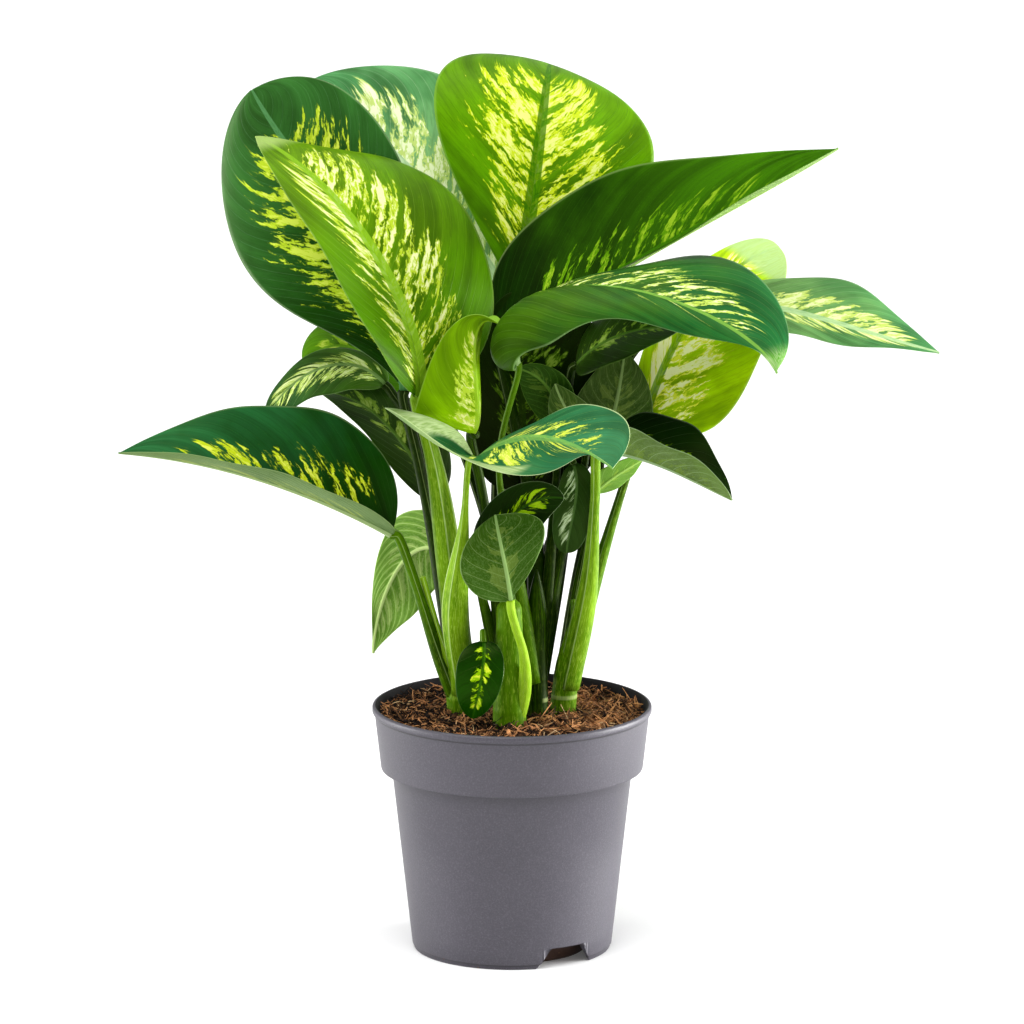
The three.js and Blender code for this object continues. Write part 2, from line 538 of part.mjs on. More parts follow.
// The soil: a plug with an uneven top that fills the pot, with a plain round hole for each shoot.
function soilGeometry() {
  const sides = 36;
  const floor = SHELF_HEIGHT + 2 + GAP;
  const lower = [
    [COLLAR_LOW_RADIUS - POT_WALL - 0.6, COLLAR_LOW + 4],
    [BODY_TOP_RADIUS - POT_WALL - 0.5, COLLAR_LOW + 1.6],
    [BODY_LOW_RADIUS - POT_WALL + 0.9, floor],
    [PAD_RADIUS + 1.5, floor],
    [PAD_RADIUS + 1.5, POT_FLOOR + GAP],
  ];
  const positions = [0, 0, soilHeight(0, 0)];
  const triangles = [];
  const ring = (radius, height) => {
    const start = positions.length / 3;
    for (let k = 0; k < sides; k += 1) {
      const angle = (2 * Math.PI * k) / sides;
      const [x, y] = [radius * Math.cos(angle), radius * Math.sin(angle)];
      positions.push(x, y, height ?? soilHeight(x, y));
    }
    return start;
  };
  const starts = [0.2, 0.42, 0.64, 0.84, 1].map((share) => ring(share * SOIL_RADIUS));
  for (const [radius, height] of lower) starts.push(ring(radius, height));
  for (let k = 0; k < sides; k += 1) {
    const next = (k + 1) % sides;
    triangles.push(0, starts[0] + k, starts[0] + next);
    for (let i = 1; i < starts.length; i += 1) {
      const [a, b] = [starts[i - 1], starts[i]];
      triangles.push(a + k, b + k, b + next, a + k, b + next, a + next);
    }
    const last = starts[starts.length - 1];
    triangles.push(positions.length / 3, last + next, last + k);
  }
  positions.push(0, 0, POT_FLOOR + GAP);
  let soil = solidOf(closedGeometry(positions, triangles));
  for (const { at, radius } of Object.values(SHOOTS)) {
    const hole = new THREE.CylinderGeometry(radius + GAP, radius + GAP, 80, 20);
    hole.rotateX(Math.PI / 2);
    hole.translate(at[0], at[1], SOIL_TOP - HOLE_DEPTH + 40);
    soil = soil.subtract(solidOf(indexed(hole)));
  }
  return geometryOf(soil);
}

const plant = new THREE.Group();

function addPiece(name, geometry, color, roughness) {
  const material = new THREE.MeshStandardMaterial({ color, roughness, metalness: 0 });
  const mesh = new THREE.Mesh(geometry, material);
  mesh.name = name;
  plant.add(mesh);
}

addPiece('pot', potGeometry(), '#6e6b76', 0.7);
addPiece('soil', soilGeometry(), '#5a3626', 1);
for (const name of Object.keys(SHOOTS)) addPiece(name, shootGeometry(name), STALK_GREEN, 0.45);
for (const [name, leaf] of Object.entries(LEAVES)) {
  addPiece(name, bladeGeometry(leaf), leaf.tint, 0.4);
}

export default plant;
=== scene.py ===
"""A potted dieffenbachia with broad variegated leaves, in a grey nursery pot.

Sizes are in millimetres until a mesh is made. +Z is up, the front faces -Y, and the origin is the
middle of the pot's underside.
"""
import math

import bmesh
import bpy
import numpy as np
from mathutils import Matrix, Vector


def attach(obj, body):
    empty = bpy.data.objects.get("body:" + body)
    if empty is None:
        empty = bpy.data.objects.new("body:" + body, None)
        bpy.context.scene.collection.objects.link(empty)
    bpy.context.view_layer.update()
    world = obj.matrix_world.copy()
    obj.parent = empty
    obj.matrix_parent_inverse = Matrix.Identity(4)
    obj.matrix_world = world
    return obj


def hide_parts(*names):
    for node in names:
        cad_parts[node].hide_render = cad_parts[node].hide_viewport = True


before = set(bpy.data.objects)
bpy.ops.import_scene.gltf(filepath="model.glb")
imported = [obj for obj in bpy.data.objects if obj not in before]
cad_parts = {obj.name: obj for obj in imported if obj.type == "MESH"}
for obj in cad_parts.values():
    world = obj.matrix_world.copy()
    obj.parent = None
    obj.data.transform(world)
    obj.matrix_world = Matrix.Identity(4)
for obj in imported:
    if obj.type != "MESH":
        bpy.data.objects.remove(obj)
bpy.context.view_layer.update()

MM = 0.001

# The pot, its soil and the blades, with the sizes of the solids. GAP is what the solids leave free,
# a blade of FULL_HALF_WIDTH or more has the thickest midrib, and one of FINE_FROM or more the fine grid
# of points along and across it.
POT_HEIGHT = 151
RIM_RADIUS = 85
COLLAR_TOP_RADIUS = 83.6
COLLAR_LOW_RADIUS = 79.8
COLLAR_LOW = 112
BODY_TOP_RADIUS = 73.2
BODY_LOW_RADIUS = 60.9
FOOT_RADIUS = 59.9
FOOT_HEIGHT = 2.4
POT_WALL = 1.8
SHELF_HEIGHT = 13
SHELF_TOP = SHELF_HEIGHT + 2
PAD_RADIUS = 46
POT_FLOOR = 2.2
NOTCH_ANGLES = [33, 213]
NOTCH_HEIGHT = 12.5
NOTCH_LOW_HALF = 19
NOTCH_TOP_HALF = 11
SOIL_TOP = 145.5
SOIL_RADIUS = 80.6
HOLE_DEPTH = 34
BLADE_THICK = 0.9
STALK_HALF = 3.2
TIP_HALF = 0.7
STALK_INTO_BLADE = 0.55
FULL_HALF_WIDTH = 50
FINE_FROM = 32
FINE_GRID = (96, 65)
COARSE_GRID = (60, 41)
GAP = 0.3

# The angle, in radians, from the middle of a sheath's channel to its raised edges.
LIP_ANGLE = 0.62

# Heights above the soil of the rings that old leaves left on a cane.
CANE_RINGS = (11.5, 25)

# Tint of the shine on leaves and stalks.
GREEN_SHEEN = (214, 240, 130)

# Each shoot: where its cane stands, the cane's radius and the share of it left at the top, the height
# it ends at, how far it leans, its tone from 0 dark to 1 light, and its crown: the height and taper of
# the rolled tip. The tone is painted light and shade: low for canes and stalks that stand in shade
# among the leaves, high for lit ones.
SHOOTS = {
    "shoot_left": dict(at=(-30, -3), radius=9.8, slim=0.85, top=186, lean=(-2, -4), tone=0.72),
    "shoot_front": dict(at=(-1.5, -37), radius=10.2, slim=0.7, top=208, lean=(0, -3), tone=0.58,
                        crown=(20, 8)),
    "shoot_middle": dict(at=(15, -11), radius=6.8, slim=0.9, top=222, lean=(0, 1), tone=0.22),
    "shoot_right": dict(at=(31, -2), radius=8, slim=0.8, top=188, lean=(5, -2), tone=0.85),
    "shoot_back": dict(at=(0, 30), radius=8, slim=0.8, top=190, lean=(0, 2), tone=0.05),
}

# Sheaths that end free, beside the stalks.
SPURS = [
    dict(come_from="shoot_left", girth=(5, 2), tone=1.15,
         points=[(-36, -8, 178), (-44, -13, 198), (-54, -17, 234)]),
    dict(come_from="shoot_right", girth=(4.5, 1.6), tone=0.7,
         points=[(34, -3, 168), (37, -3, 190), (37, -4, 217)]),
]

# Each leaf. The midrib (rib) is the cubic through four points from base to tip. Left and right are
# as seen from above with the tip ahead. face is the way the upper side looks at mid length. half
# holds the widest half widths, fold and curl hold degrees (left at base, left at tip, right at base,
# right at tip): fold lifts a half at the midrib, curl bends it on towards its margin. shape holds
# the two powers of each side's outline, wave the height, count and start of the margin's waves.
# sweep draws each half's base back beside the stalk, ease is the power by which fold and curl change
# from base to tip. A fold or curl with one number has it four times. stalk holds the points that the
# leaf stalk passes, girth its radius at the cane and at the blade, sheath the share of its length at
# which the wide sheath ends, opens the way the sheath's channel faces, tone its lightness, which is
# painted light and shade as on the canes, look the blade's finish, slot its material slot and
# come_from its shoot.
LEAVES = {
    "leaf_top_centre": dict(
        rib=[(2, 40, 388), (10, 44, 439), (19, 66, 506), (23, 114, 526)], face=(0.05, -1, 0.25),
        half=(68, 71), fold=(13, 18, 19, 13), curl=(-5, -26, -24, -31), shape=(1.46, 0.66, 1.18, 0.99),
        wave=(1, 3, 0.26), look="bright", slot="leaf_bright", come_from="shoot_back",
        stalk=[(1, 31, 170), (2, 34, 260), (1, 38, 340)], girth=(6.5, 3.4), tone=0.1),
    "leaf_top_back_left": dict(
        rib=[(-6, 58, 393), (-16, 58, 410), (-63, 72, 467), (-121, 88, 521)], face=(0.35, -1, 0.3),
        half=(50, 68), fold=(24, 17, 18, 14), curl=(-10, -28, -17, -28), shape=(0.86, 0.62, 0.78, 0.81),
        wave=(1.5, 3, -0.43), look="pale", slot="leaf_grey", come_from="shoot_back",
        stalk=[(-3, 34, 170), (-8, 46, 260), (-6, 56, 340)], girth=(6, 3.2), tone=0.05),
    "leaf_left_broad": dict(
        rib=[(-65, 0, 345), (-78, 4, 405), (-119, 14, 470), (-156, 12, 527)], face=(0.15, -1, 0.25),
        half=(66, 53), fold=(18, -18, 8, 19), curl=(-14, -48, 5, -40), shape=(1.12, 0.79, 1.12, 0.48),
        wave=(1, 3, -0.17), look="deep_broad", slot="leaf_dark", come_from="shoot_left",
        stalk=[(-32, 0, 165), (-44, -2, 240), (-56, -1, 300)], girth=(6, 3.4), tone=0.2),
    "leaf_front_bright": dict(
        rib=[(-56, -40, 350), (-62, -47, 391), (-105, -46, 469), (-153, -15, 503)], face=(0.4, -1, 0.35),
        half=(47, 78), fold=(43, 47, 20, -26), curl=(-17, -21, -20, -50), shape=(0.77, 0.93, 0.5, 0.5),
        wave=(2, 3, 0.51), look="bright_ribbed", slot="leaf_bright", come_from="shoot_left",
        stalk=[(-31, -6, 160), (-38, -18, 240), (-46, -34, 304)], girth=(7.5, 4.4), sheath=0.45,
        tone=0.85),
    "leaf_right_dark": dict(
        rib=[(-2, 14, 370), (36, 12, 398), (136, -5, 460), (195, -15, 496)], face=(-0.5, -0.45, 0.75),
        half=(58, 26), fold=(40, 35, 35, 40), curl=(5, 5, 0, 0), shape=(0.45, 1.05, 1.2, 0.6),
        wave=(2, 2, 0.3), look="shaded", slot="leaf_dark", come_from="shoot_middle",
        stalk=[(15, -7, 170), (13, 6, 260), (1, 13, 325)], girth=(6, 3.4), tone=0.1),
    "leaf_front_young": dict(
        rib=[(-22, -41, 327), (-21, -45, 357), (-15, -47, 397), (-7, -53, 396)], face=(0.2, -1, 0.15),
        half=(39.5, 15), fold=(-3, 1, -69, -56), curl=(-15, 13, -18, -12), shape=(0.2, 1.06, 0.25, 0.5),
        wave=(0.6, 2, 0.43), look="young", slot="leaf_bright", come_from="shoot_front",
        stalk=[(-3, -33, 168), (-9, -27, 230), (-18, -33, 290)], girth=(5.5, 3), tone=0.12),
    "leaf_right_arching": dict(
        rib=[(3, -28, 367), (16, -42, 408), (83, -64, 416), (156, -110, 378)], face=(0.1, -0.45, 1),
        half=(65, 56), fold=(-14, 13, 104, -8), curl=(-40, -22, -211, -40), shape=(2.5, 1.58, 0.41, 1.96),
        wave=(5.4, 2, -0.06), ease=0.7, look="blue_streaked", slot="leaf_mid", come_from="shoot_middle",
        stalk=[(13, -13, 168), (2, -16, 235), (-8, -22, 305)], girth=(6, 1.9), tone=0.5),
    "leaf_front_curled": dict(
        rib=[(-22, -71, 318), (5, -95, 336), (32, -121, 338), (59, -141, 327)], face=(0.1, -0.86, 1),
        half=(33, 54), fold=(-14, 13, 16, -150), curl=(5, 0, 225, -24), shape=(1.3, 0.4, 0.2, 1.7),
        wave=(1.5, 2, 0.1), ease=0.87, sweep=(0, 74), look="blue_spotted", slot="leaf_mid",
        come_from="shoot_left", stalk=[(-28, -8, 160), (-34, -30, 215), (-29, -54, 272)],
        girth=(8.2, 1.9), sheath=0.42, tone=0.9, opens=(-1, -0.45, 0)),
    "leaf_left_level": dict(
        rib=[(-73, -25, 262), (-106, -36, 281), (-171, -50, 307), (-235, -58, 319)],
        face=(0.1, -0.33, 0.94), half=(22, 52), fold=(49, 37, 64, 28), curl=(3, 20, -7, 6),
        shape=(0.38, 0.71, 0.58, 1.07), wave=(1, 3, 0.85), look="deep", slot="leaf_dark",
        come_from="shoot_left", stalk=[(-35, -5, 158), (-46, -12, 190), (-58, -20, 230)], girth=(5, 3),
        tone=0.42, opens=(1, -1, 0)),
    "leaf_left_grey": dict(
        rib=[(-77, 20, 345), (-104, 22, 357), (-135, 18, 343), (-148, 8, 324)], face=(-0.2, -0.5, 1),
        half=(23, 13), fold=(1, 11, 24, 29), curl=(-24, -26, -26, -8), shape=(0.45, 0.63, 0.32, 0.67),
        wave=(1.1, 2, -0.08), look="grey", slot="leaf_grey", come_from="shoot_left",
        stalk=[(-31, 0, 168), (-42, 4, 250), (-58, 11, 315)], girth=(5, 2.8), tone=0.2),
    "leaf_left_behind": dict(
        rib=[(-58, 60, 335), (-78, 63, 350), (-105, 65, 360), (-127, 66, 350)], face=(-0.2, -0.6, 1),
        half=(20, 26), fold=10, curl=-20, shape=(0.5, 0.6, 0.5, 0.5), wave=(0.8, 2, 0.2), look="plain",
        slot="leaf_mid", come_from="shoot_back", stalk=[(-3, 32, 165), (-10, 48, 235), (-34, 58, 305)],
        girth=(5, 2.6), tone=0.2),
    "leaf_left_under": dict(
        rib=[(-48, 17, 275), (-61, 25, 299), (-93, 42, 329), (-116, 55, 333)], face=(0.3, -0.6, 1),
        half=(20, 30), fold=10, curl=-10, shape=(0.5, 0.7, 0.5, 0.7), wave=(0.8, 2, 0.2), look="olive",
        slot="leaf_grey", come_from="shoot_left", stalk=[(-30, 3, 165), (-36, 10, 215), (-42, 14, 250)],
        girth=(5, 2.8), tone=0.3),
    "leaf_left_low": dict(
        rib=[(-38, 25, 238), (-54, 38, 240), (-74, 52, 216), (-85, 50, 171)], face=(0.2, 1, 0.5),
        half=(26, 26), fold=(22, 18, 13, -15), curl=(-8, 28, -14, -48), shape=(0.2, 1.55, 0.92, 1.09),
        wave=(2.6, 3, 0.36), look="whitish_under", slot="leaf_grey", come_from="shoot_left",
        stalk=[(-30, 4, 165), (-31, 12, 195), (-34, 19, 225)], girth=(4.5, 2.8), tone=0.35),
    "leaf_far_right": dict(
        rib=[(118, 20, 396), (163, 20, 391), (205, 14, 381), (258, 8, 367)], face=(0, -0.38, 0.92),
        half=(39, 29), fold=(15, 15, 10, 2), curl=(-6, -29, -20, -2), shape=(1.2, 1.1, 0.2, 1),
        wave=(2.2, 2, 0.13), look="pale_far", slot="leaf_mid", come_from="shoot_back",
        stalk=[(3, 30, 165), (30, 28, 260), (70, 20, 360)], girth=(5.5, 2.8), tone=0.2),
    "leaf_right_bright": dict(
        rib=[(80, 20, 320), (90, 24, 350), (118, 45, 394), (163, 78, 419)], face=(-0.3, -1, 0.45),
        half=(20, 56), fold=(11, 3, 6, 10), curl=(-28, -19, 1, 10), shape=(0.43, 0.3, 0.3, 0.56),
        wave=(1, 2, 0.04), look="bright_low", slot="leaf_bright", come_from="shoot_right",
        stalk=[(34, 0, 165), (50, 6, 225), (68, 14, 285)], girth=(5, 2.6), tone=0.75),
    "leaf_right_front": dict(
        rib=[(56, -20, 312), (77, -35, 311), (109, -58, 302), (131, -75, 294)], face=(0, -0.12, 1),
        half=(34, 37), fold=(38, 38, 44, 58), curl=(4, -4, -4, 2), shape=(0.34, 0.88, 0.24, 0.48),
        wave=(2, 2, 0.23), look="black_green", slot="leaf_dark", come_from="shoot_right",
        stalk=[(34, -5, 163), (46, -13, 225), (50, -15, 280)], girth=(7, 3), tone=0.9),
    "leaf_right_lobe": dict(
        rib=[(50, 2, 282), (56, 0, 288), (68, -2, 297), (79, 0, 303)], face=(0.2, 0.8, 1), half=(11, 11),
        fold=5, curl=-5, shape=(0.5, 0.7, 0.5, 0.7), wave=(0.4, 2, 0.2), look="plain", slot="leaf_mid",
        come_from="shoot_right", stalk=[(32, 2, 168), (40, 4, 220), (47, 4, 262)], girth=(4, 2.4),
        tone=0.5),
    "leaf_centre_grey": dict(
        rib=[(56, 14, 310), (62, 10, 332), (66, 10, 353), (68, 15, 367)], face=(-0.1, 1, 0.2),
        half=(24, 26), fold=5, curl=-20, shape=(0.4, 0.8, 0.4, 0.8), wave=(0.8, 2, 0.2),
        look="veined_under", slot="leaf_grey", come_from="shoot_right",
        stalk=[(31, 2, 168), (42, 12, 235), (52, 16, 285)], girth=(4.5, 2.6), tone=0.4),
    "leaf_centre_under": dict(
        rib=[(28, 3, 321), (26, -1, 339), (17, -8, 354), (4, -15, 362)], face=(0, 1, 0.3), half=(13, 16),
        fold=5, curl=-10, shape=(0.5, 0.6, 0.5, 0.6), wave=(0.6, 2, 0.2), look="dark_under",
        slot="leaf_dark", come_from="shoot_middle", stalk=[(17, -8, 170), (23, 1, 240), (27, 5, 295)],
        girth=(4.5, 2.6), tone=0.2),
    "leaf_centre_small": dict(
        rib=[(44, 0, 312), (40, -8, 323), (32, -12, 338), (26, -12, 352)], face=(0, 1, 0.3),
        half=(14, 14), fold=5, curl=-10, shape=(0.5, 0.8, 0.5, 0.8), wave=(0.6, 2, 0.2),
        look="veined_under", slot="leaf_grey", come_from="shoot_middle",
        stalk=[(17, -8, 170), (28, 2, 235), (41, 5, 285)], girth=(4, 2.4), tone=0.25),
    "leaf_centre_shade": dict(
        rib=[(39, 0, 361), (55, -8, 376), (76, -14, 385), (101, -20, 387)], face=(0, -0.5, 1),
        half=(30, 29), fold=(20, 10, 10, 10), curl=(-30, -10, -10, -10), shape=(0.5, 0.7, 0.5, 0.7),
        wave=(0.6, 2, 0.2), look="olive", slot="leaf_dark", come_from="shoot_middle",
        stalk=[(18, -6, 170), (32, 12, 260), (34, 14, 330)], girth=(4.5, 2.6), tone=0.2),
    # A near-black blade behind the centre: painted shade, a dark sheet where the leaves there lie in shadow.
    "leaf_centre_back": dict(
        rib=[(8, 20, 280), (7, 20, 312), (5, 21, 350), (4, 24, 402)], face=(0.05, -1, 0.05),
        half=(33, 53), fold=5, curl=-5, shape=(0.3, 0.5, 0.3, 0.3), wave=(1, 2, 0.2), look="back_shade",
        slot="leaf_dark", come_from="shoot_back", stalk=[(3, 29, 170), (8, 27, 215), (9, 23, 250)],
        girth=(4.5, 2.6), tone=0.05),
    "leaf_front_oval": dict(
        rib=[(-1, -64, 230), (-3, -68, 246), (-7, -70, 267), (-10, -62, 282)], face=(0.05, 1, 0.2),
        half=(28, 27), fold=(14, 27, -12, 3), curl=(6, -37, -33, -7), shape=(1.1, 0.35, 0.62, 0.76),
        wave=(1.5, 2, 0.28), look="oval_under", slot="leaf_grey", come_from="shoot_front",
        stalk=[(3, -38, 149), (7.5, -43, 172), (7, -52, 194), (2, -59, 213)], girth=(4.6, 2.6),
        tone=1.15),
    "leaf_centre_dark": dict(
        rib=[(-18, -45, 252), (-8, -48, 270), (14, -50, 288), (31, -56, 291)], face=(0.3, -0.8, 0.6),
        half=(15, 18), fold=10, curl=-10, shape=(0.5, 0.6, 0.5, 0.6), wave=(0.8, 2, 0.2),
        look="black_green", slot="leaf_dark", come_from="shoot_front",
        stalk=[(-4, -34, 168), (-13, -26, 203), (-20, -36, 235)], girth=(4.5, 2.4), tone=0.25),
    "leaf_front_tiny": dict(
        rib=[(-17, -47, 201), (-17, -53, 191), (-20, -56, 172), (-24, -53, 155)], face=(0, -1, 0.1),
        half=(13, 16), fold=10, curl=-10, shape=(0.4, 0.6, 0.4, 0.6), wave=(0.6, 2, 0.2), look="tiny",
        slot="leaf_dark", come_from="shoot_front",
        stalk=[(-7, -38, 165), (-14, -40, 182), (-17, -41, 193)], girth=(3.5, 2), tone=0.4),
    "leaf_right_dim": dict(
        rib=[(37, 0, 300), (39, -7, 289), (36, -9, 266), (33, -8, 247)], face=(0, -1, 0.1), half=(12, 12),
        fold=5, curl=-5, shape=(0.4, 0.4, 0.4, 0.4), wave=(0.5, 2, 0.2), look="dim", slot="leaf_dark",
        come_from="shoot_middle", stalk=[(17, -6, 170), (27, 6, 240), (36, 11, 288)], girth=(4, 2.4),
        tone=0.25),
}

# Each finish. base and tip colour the upper side, streak and cream its markings; the tip colour is the
# blade's own colour towards its tip and, where it is bluish, also a painted sheen, the reflection of the
# sky on the outer blade. cover is how much of the middle the markings take, reach how far out they go,
# halves their share on the left and the right, span where they start and end along the blade, grain
# how fine they are. rib colours the midrib, rib_width and raised are its width and height, under
# colours the lower side and vein its veins, vein_gap is their distance in millimetres and vein_width
# their share of it, edge the strength of the pale margin, gloss the roughness, slant how far the side
# veins run on towards the tip, quilt how far the blade swells between them and how deep the painted
# shade in those folds on the lower side is. blush is a pale region: its colour, then its start and end
# along the blade and across it.
PLAIN = dict(cover=0.55, reach=0.85, halves=(1, 1), span=(0.0, 0.97), grain=1.0, rib_width=0.022,
             raised=-0.3, edge=0.25, gloss=0.36, vein_gap=9, vein_width=0.16, slant=0.36,
             quilt=1.0, blush=None)
LOOKS = {
    "bright": dict(
        base=(82, 142, 0), tip=(100, 154, 0), streak=(184, 204, 26), cream=(214, 222, 120), cover=0.575,
        reach=0.95, rib=(50, 104, 0), rib_width=0.05, under=(110, 150, 50), vein=(146, 180, 90),
        grain=1.15),
    # Painted light: brighter than the leaf is, as if lit through from behind, though it stands in the shade
    # of the arching leaf.
    "bright_low": dict(
        base=(186, 232, 4), tip=(192, 232, 8), streak=(226, 232, 60), cream=(250, 250, 190), cover=0.6,
        reach=0.9, rib=(84, 136, 10), under=(110, 150, 50), vein=(170, 200, 120),
        blush=((176, 208, 140), 0.8, 1.2, -0.1, 1.1)),
    "bright_ribbed": dict(
        base=(76, 128, 0), tip=(102, 148, 6), streak=(170, 194, 40), cream=(220, 226, 160), cover=0.57,
        reach=0.88, rib=(126, 172, 30), rib_width=0.056, under=(120, 160, 70), vein=(156, 186, 96),
        raised=1.4, blush=((156, 180, 104), 0.9, 1.2, -0.1, 1.1)),
    "young": dict(
        base=(140, 192, 0), tip=(132, 184, 0), streak=(170, 198, 50), cream=(214, 220, 140), cover=0.58,
        reach=0.7, halves=(1, 0.7), span=(0.0, 0.8), rib=(130, 168, 30), under=(110, 150, 50),
        vein=(150, 180, 86)),
    "pale": dict(
        base=(150, 198, 136), tip=(84, 154, 92), streak=(196, 216, 120), cream=(240, 246, 206), cover=0.7,
        reach=0.8, rib=(186, 212, 170), under=(140, 172, 130), vein=(170, 196, 152), raised=0.8,
        quilt=1.6, rib_width=0.05),
    "pale_far": dict(
        base=(118, 164, 90), tip=(76, 146, 84), streak=(184, 204, 96), cream=(218, 228, 164), cover=0.58,
        reach=0.8, rib=(176, 206, 150), under=(130, 164, 116), vein=(166, 194, 146), raised=0.8,
        quilt=1.6, rib_width=0.036),
    "deep": dict(
        base=(6, 56, 0), tip=(38, 112, 62), streak=(190, 206, 30), cream=(220, 226, 90), cover=0.42,
        reach=0.82, span=(0.06, 0.92), rib=(34, 92, 18), under=(96, 122, 68), vein=(146, 168, 112),
        quilt=1.3),
    "deep_broad": dict(
        base=(10, 56, 0), tip=(52, 108, 44), streak=(176, 200, 40), cream=(206, 220, 80), cover=0.56,
        reach=0.98, span=(0.04, 0.94), rib=(84, 140, 86), under=(100, 138, 80), vein=(152, 180, 130),
        quilt=1.2, slant=0.3, rib_width=0.034),
    # Painted shade: near black at the base, where the blade lies in shade at the middle of the plant, and
    # lighter towards its lit tip.
    "shaded": dict(
        base=(6, 38, 0), tip=(70, 134, 4), streak=(84, 134, 4), cream=(140, 176, 34), cover=0.45,
        reach=0.75, span=(0.1, 0.92), rib=(50, 104, 4), under=(120, 152, 80), vein=(150, 180, 100),
        quilt=1.6),
    "blue_streaked": dict(
        base=(60, 100, 8), tip=(24, 108, 50), streak=(180, 204, 80), cream=(220, 226, 170), cover=0.43,
        reach=0.78, halves=(1, 0.45), span=(0.14, 0.95), rib=(120, 168, 60), under=(120, 156, 96),
        vein=(152, 182, 120), quilt=1.5, blush=((76, 146, 8), 0.88, 1.2, -0.1, 1.1), grain=1.25),
    "blue_spotted": dict(
        base=(34, 104, 52), tip=(54, 128, 84), streak=(188, 206, 60), cream=(216, 222, 110), cover=0.39,
        reach=0.95, span=(0.08, 0.95), rib=(110, 160, 70), under=(140, 166, 100), vein=(184, 204, 146),
        edge=0.9, blush=((136, 162, 92), -0.2, 0.5, 0.78, 1.1), grain=1.7),
    "grey": dict(
        base=(70, 112, 24), tip=(44, 84, 44), streak=(176, 200, 90), cream=(216, 226, 160), cover=0.56,
        reach=0.9, rib=(120, 152, 84), under=(96, 128, 74), vein=(140, 168, 108), grain=1.5, quilt=2.0),
    "plain": dict(
        base=(66, 118, 0), tip=(80, 130, 4), streak=(130, 168, 24), cream=(180, 198, 70), cover=0.44,
        reach=0.6, rib=(96, 140, 26), under=(92, 132, 46), vein=(132, 166, 76)),
    "olive": dict(
        base=(34, 58, 10), tip=(40, 70, 16), streak=(100, 128, 36), cream=(136, 158, 70), cover=0.42,
        reach=0.6, rib=(76, 108, 34), under=(52, 80, 24), vein=(86, 116, 48)),
    "whitish_under": dict(
        base=(52, 96, 10), tip=(84, 126, 40), streak=(164, 188, 80), cream=(206, 218, 140), cover=0.44,
        rib=(170, 196, 130), under=(108, 148, 52), vein=(178, 202, 124), vein_gap=8, quilt=4.5,
        rib_width=0.016, vein_width=0.36),
    # Near black: painted shade for blades that lie in the shadow of the leaves above them.
    "black_green": dict(
        base=(4, 28, 0), tip=(8, 40, 2), streak=(120, 160, 0), cream=(140, 172, 20), cover=0.46,
        reach=0.8, rib=(26, 64, 4), under=(92, 118, 52), vein=(140, 164, 120), grain=1.4),
    # Near black: painted shade, for the blade that stands in for the shaded leaves behind the centre.
    "back_shade": dict(
        base=(4, 18, 0), tip=(10, 34, 0), streak=(60, 92, 6), cream=(120, 148, 50), cover=0.45, reach=0.8,
        rib=(20, 44, 0), under=(12, 36, 0), vein=(24, 52, 6)),
    "veined_under": dict(
        base=(24, 52, 6), tip=(34, 66, 14), streak=(104, 134, 44), cream=(146, 168, 76), cover=0.42,
        rib=(92, 120, 66), under=(58, 80, 28), vein=(118, 140, 84), vein_gap=7, quilt=3.6,
        rib_width=0.016),
    "dark_under": dict(
        base=(16, 42, 2), tip=(16, 42, 2), streak=(80, 112, 30), cream=(116, 146, 50), cover=0.42,
        rib=(56, 88, 26), under=(30, 62, 6), vein=(74, 106, 34), vein_gap=7, quilt=3.0, rib_width=0.016),
    "oval_under": dict(
        base=(30, 68, 6), tip=(44, 82, 22), streak=(112, 144, 50), cream=(156, 178, 84), cover=0.5,
        reach=0.6, rib=(130, 160, 88), under=(48, 78, 12), vein=(128, 158, 92), vein_gap=8, edge=0.8,
        quilt=2.4, rib_width=0.014),
    "tiny": dict(
        base=(8, 48, 0), tip=(20, 72, 0), streak=(130, 178, 0), cream=(200, 216, 50), cover=0.5,
        reach=0.62, rib=(36, 84, 4), under=(96, 126, 70), vein=(124, 152, 92), gloss=0.25, slant=0.2),
    "dim": dict(
        base=(26, 52, 10), tip=(40, 68, 22), streak=(116, 138, 90), cream=(176, 192, 156), cover=0.5,
        reach=0.95, halves=(0.3, 1), rib=(66, 94, 44), under=(84, 114, 66), vein=(114, 140, 92),
        grain=1.5),
}


def linear(colour):
    """The linear value of a colour given as three numbers from 0 to 255."""
    share = np.array(colour, float) / 255
    low = share / 12.92
    high = ((share + 0.055) / 1.055) ** 2.4
    return (*np.where(share <= 0.04045, low, high).tolist(), 1.0)


class Wire:
    """A socket in a sum: the operators add Math nodes behind it."""

    def __init__(self, paint, socket):
        self.paint = paint
        self.socket = socket

    def math(self, operation, *others):
        """That operation on this wire and the others."""
        return self.paint.node("ShaderNodeMath", dict(operation=operation), self, *others)

    def __add__(self, other):
        return self.math("ADD", other)

    def __mul__(self, other):
        return self.math("MULTIPLY", other)

    def __sub__(self, other):
        return self.math("SUBTRACT", other)

    def __rsub__(self, other):
        return self.paint.node("ShaderNodeMath", dict(operation="SUBTRACT"), other, self)

    def __pow__(self, other):
        return self.math("POWER", other)

    def __abs__(self):
        return self.math("ABSOLUTE")

    __radd__ = __add__
    __rmul__ = __mul__

    def step(self, low, high):
        """0 below low, 1 above high and a smooth rise between."""
        settings = dict(interpolation_type="SMOOTHSTEP")
        return self.paint.node("ShaderNodeMapRange", settings, self, low, high, 0.0, 1.0)


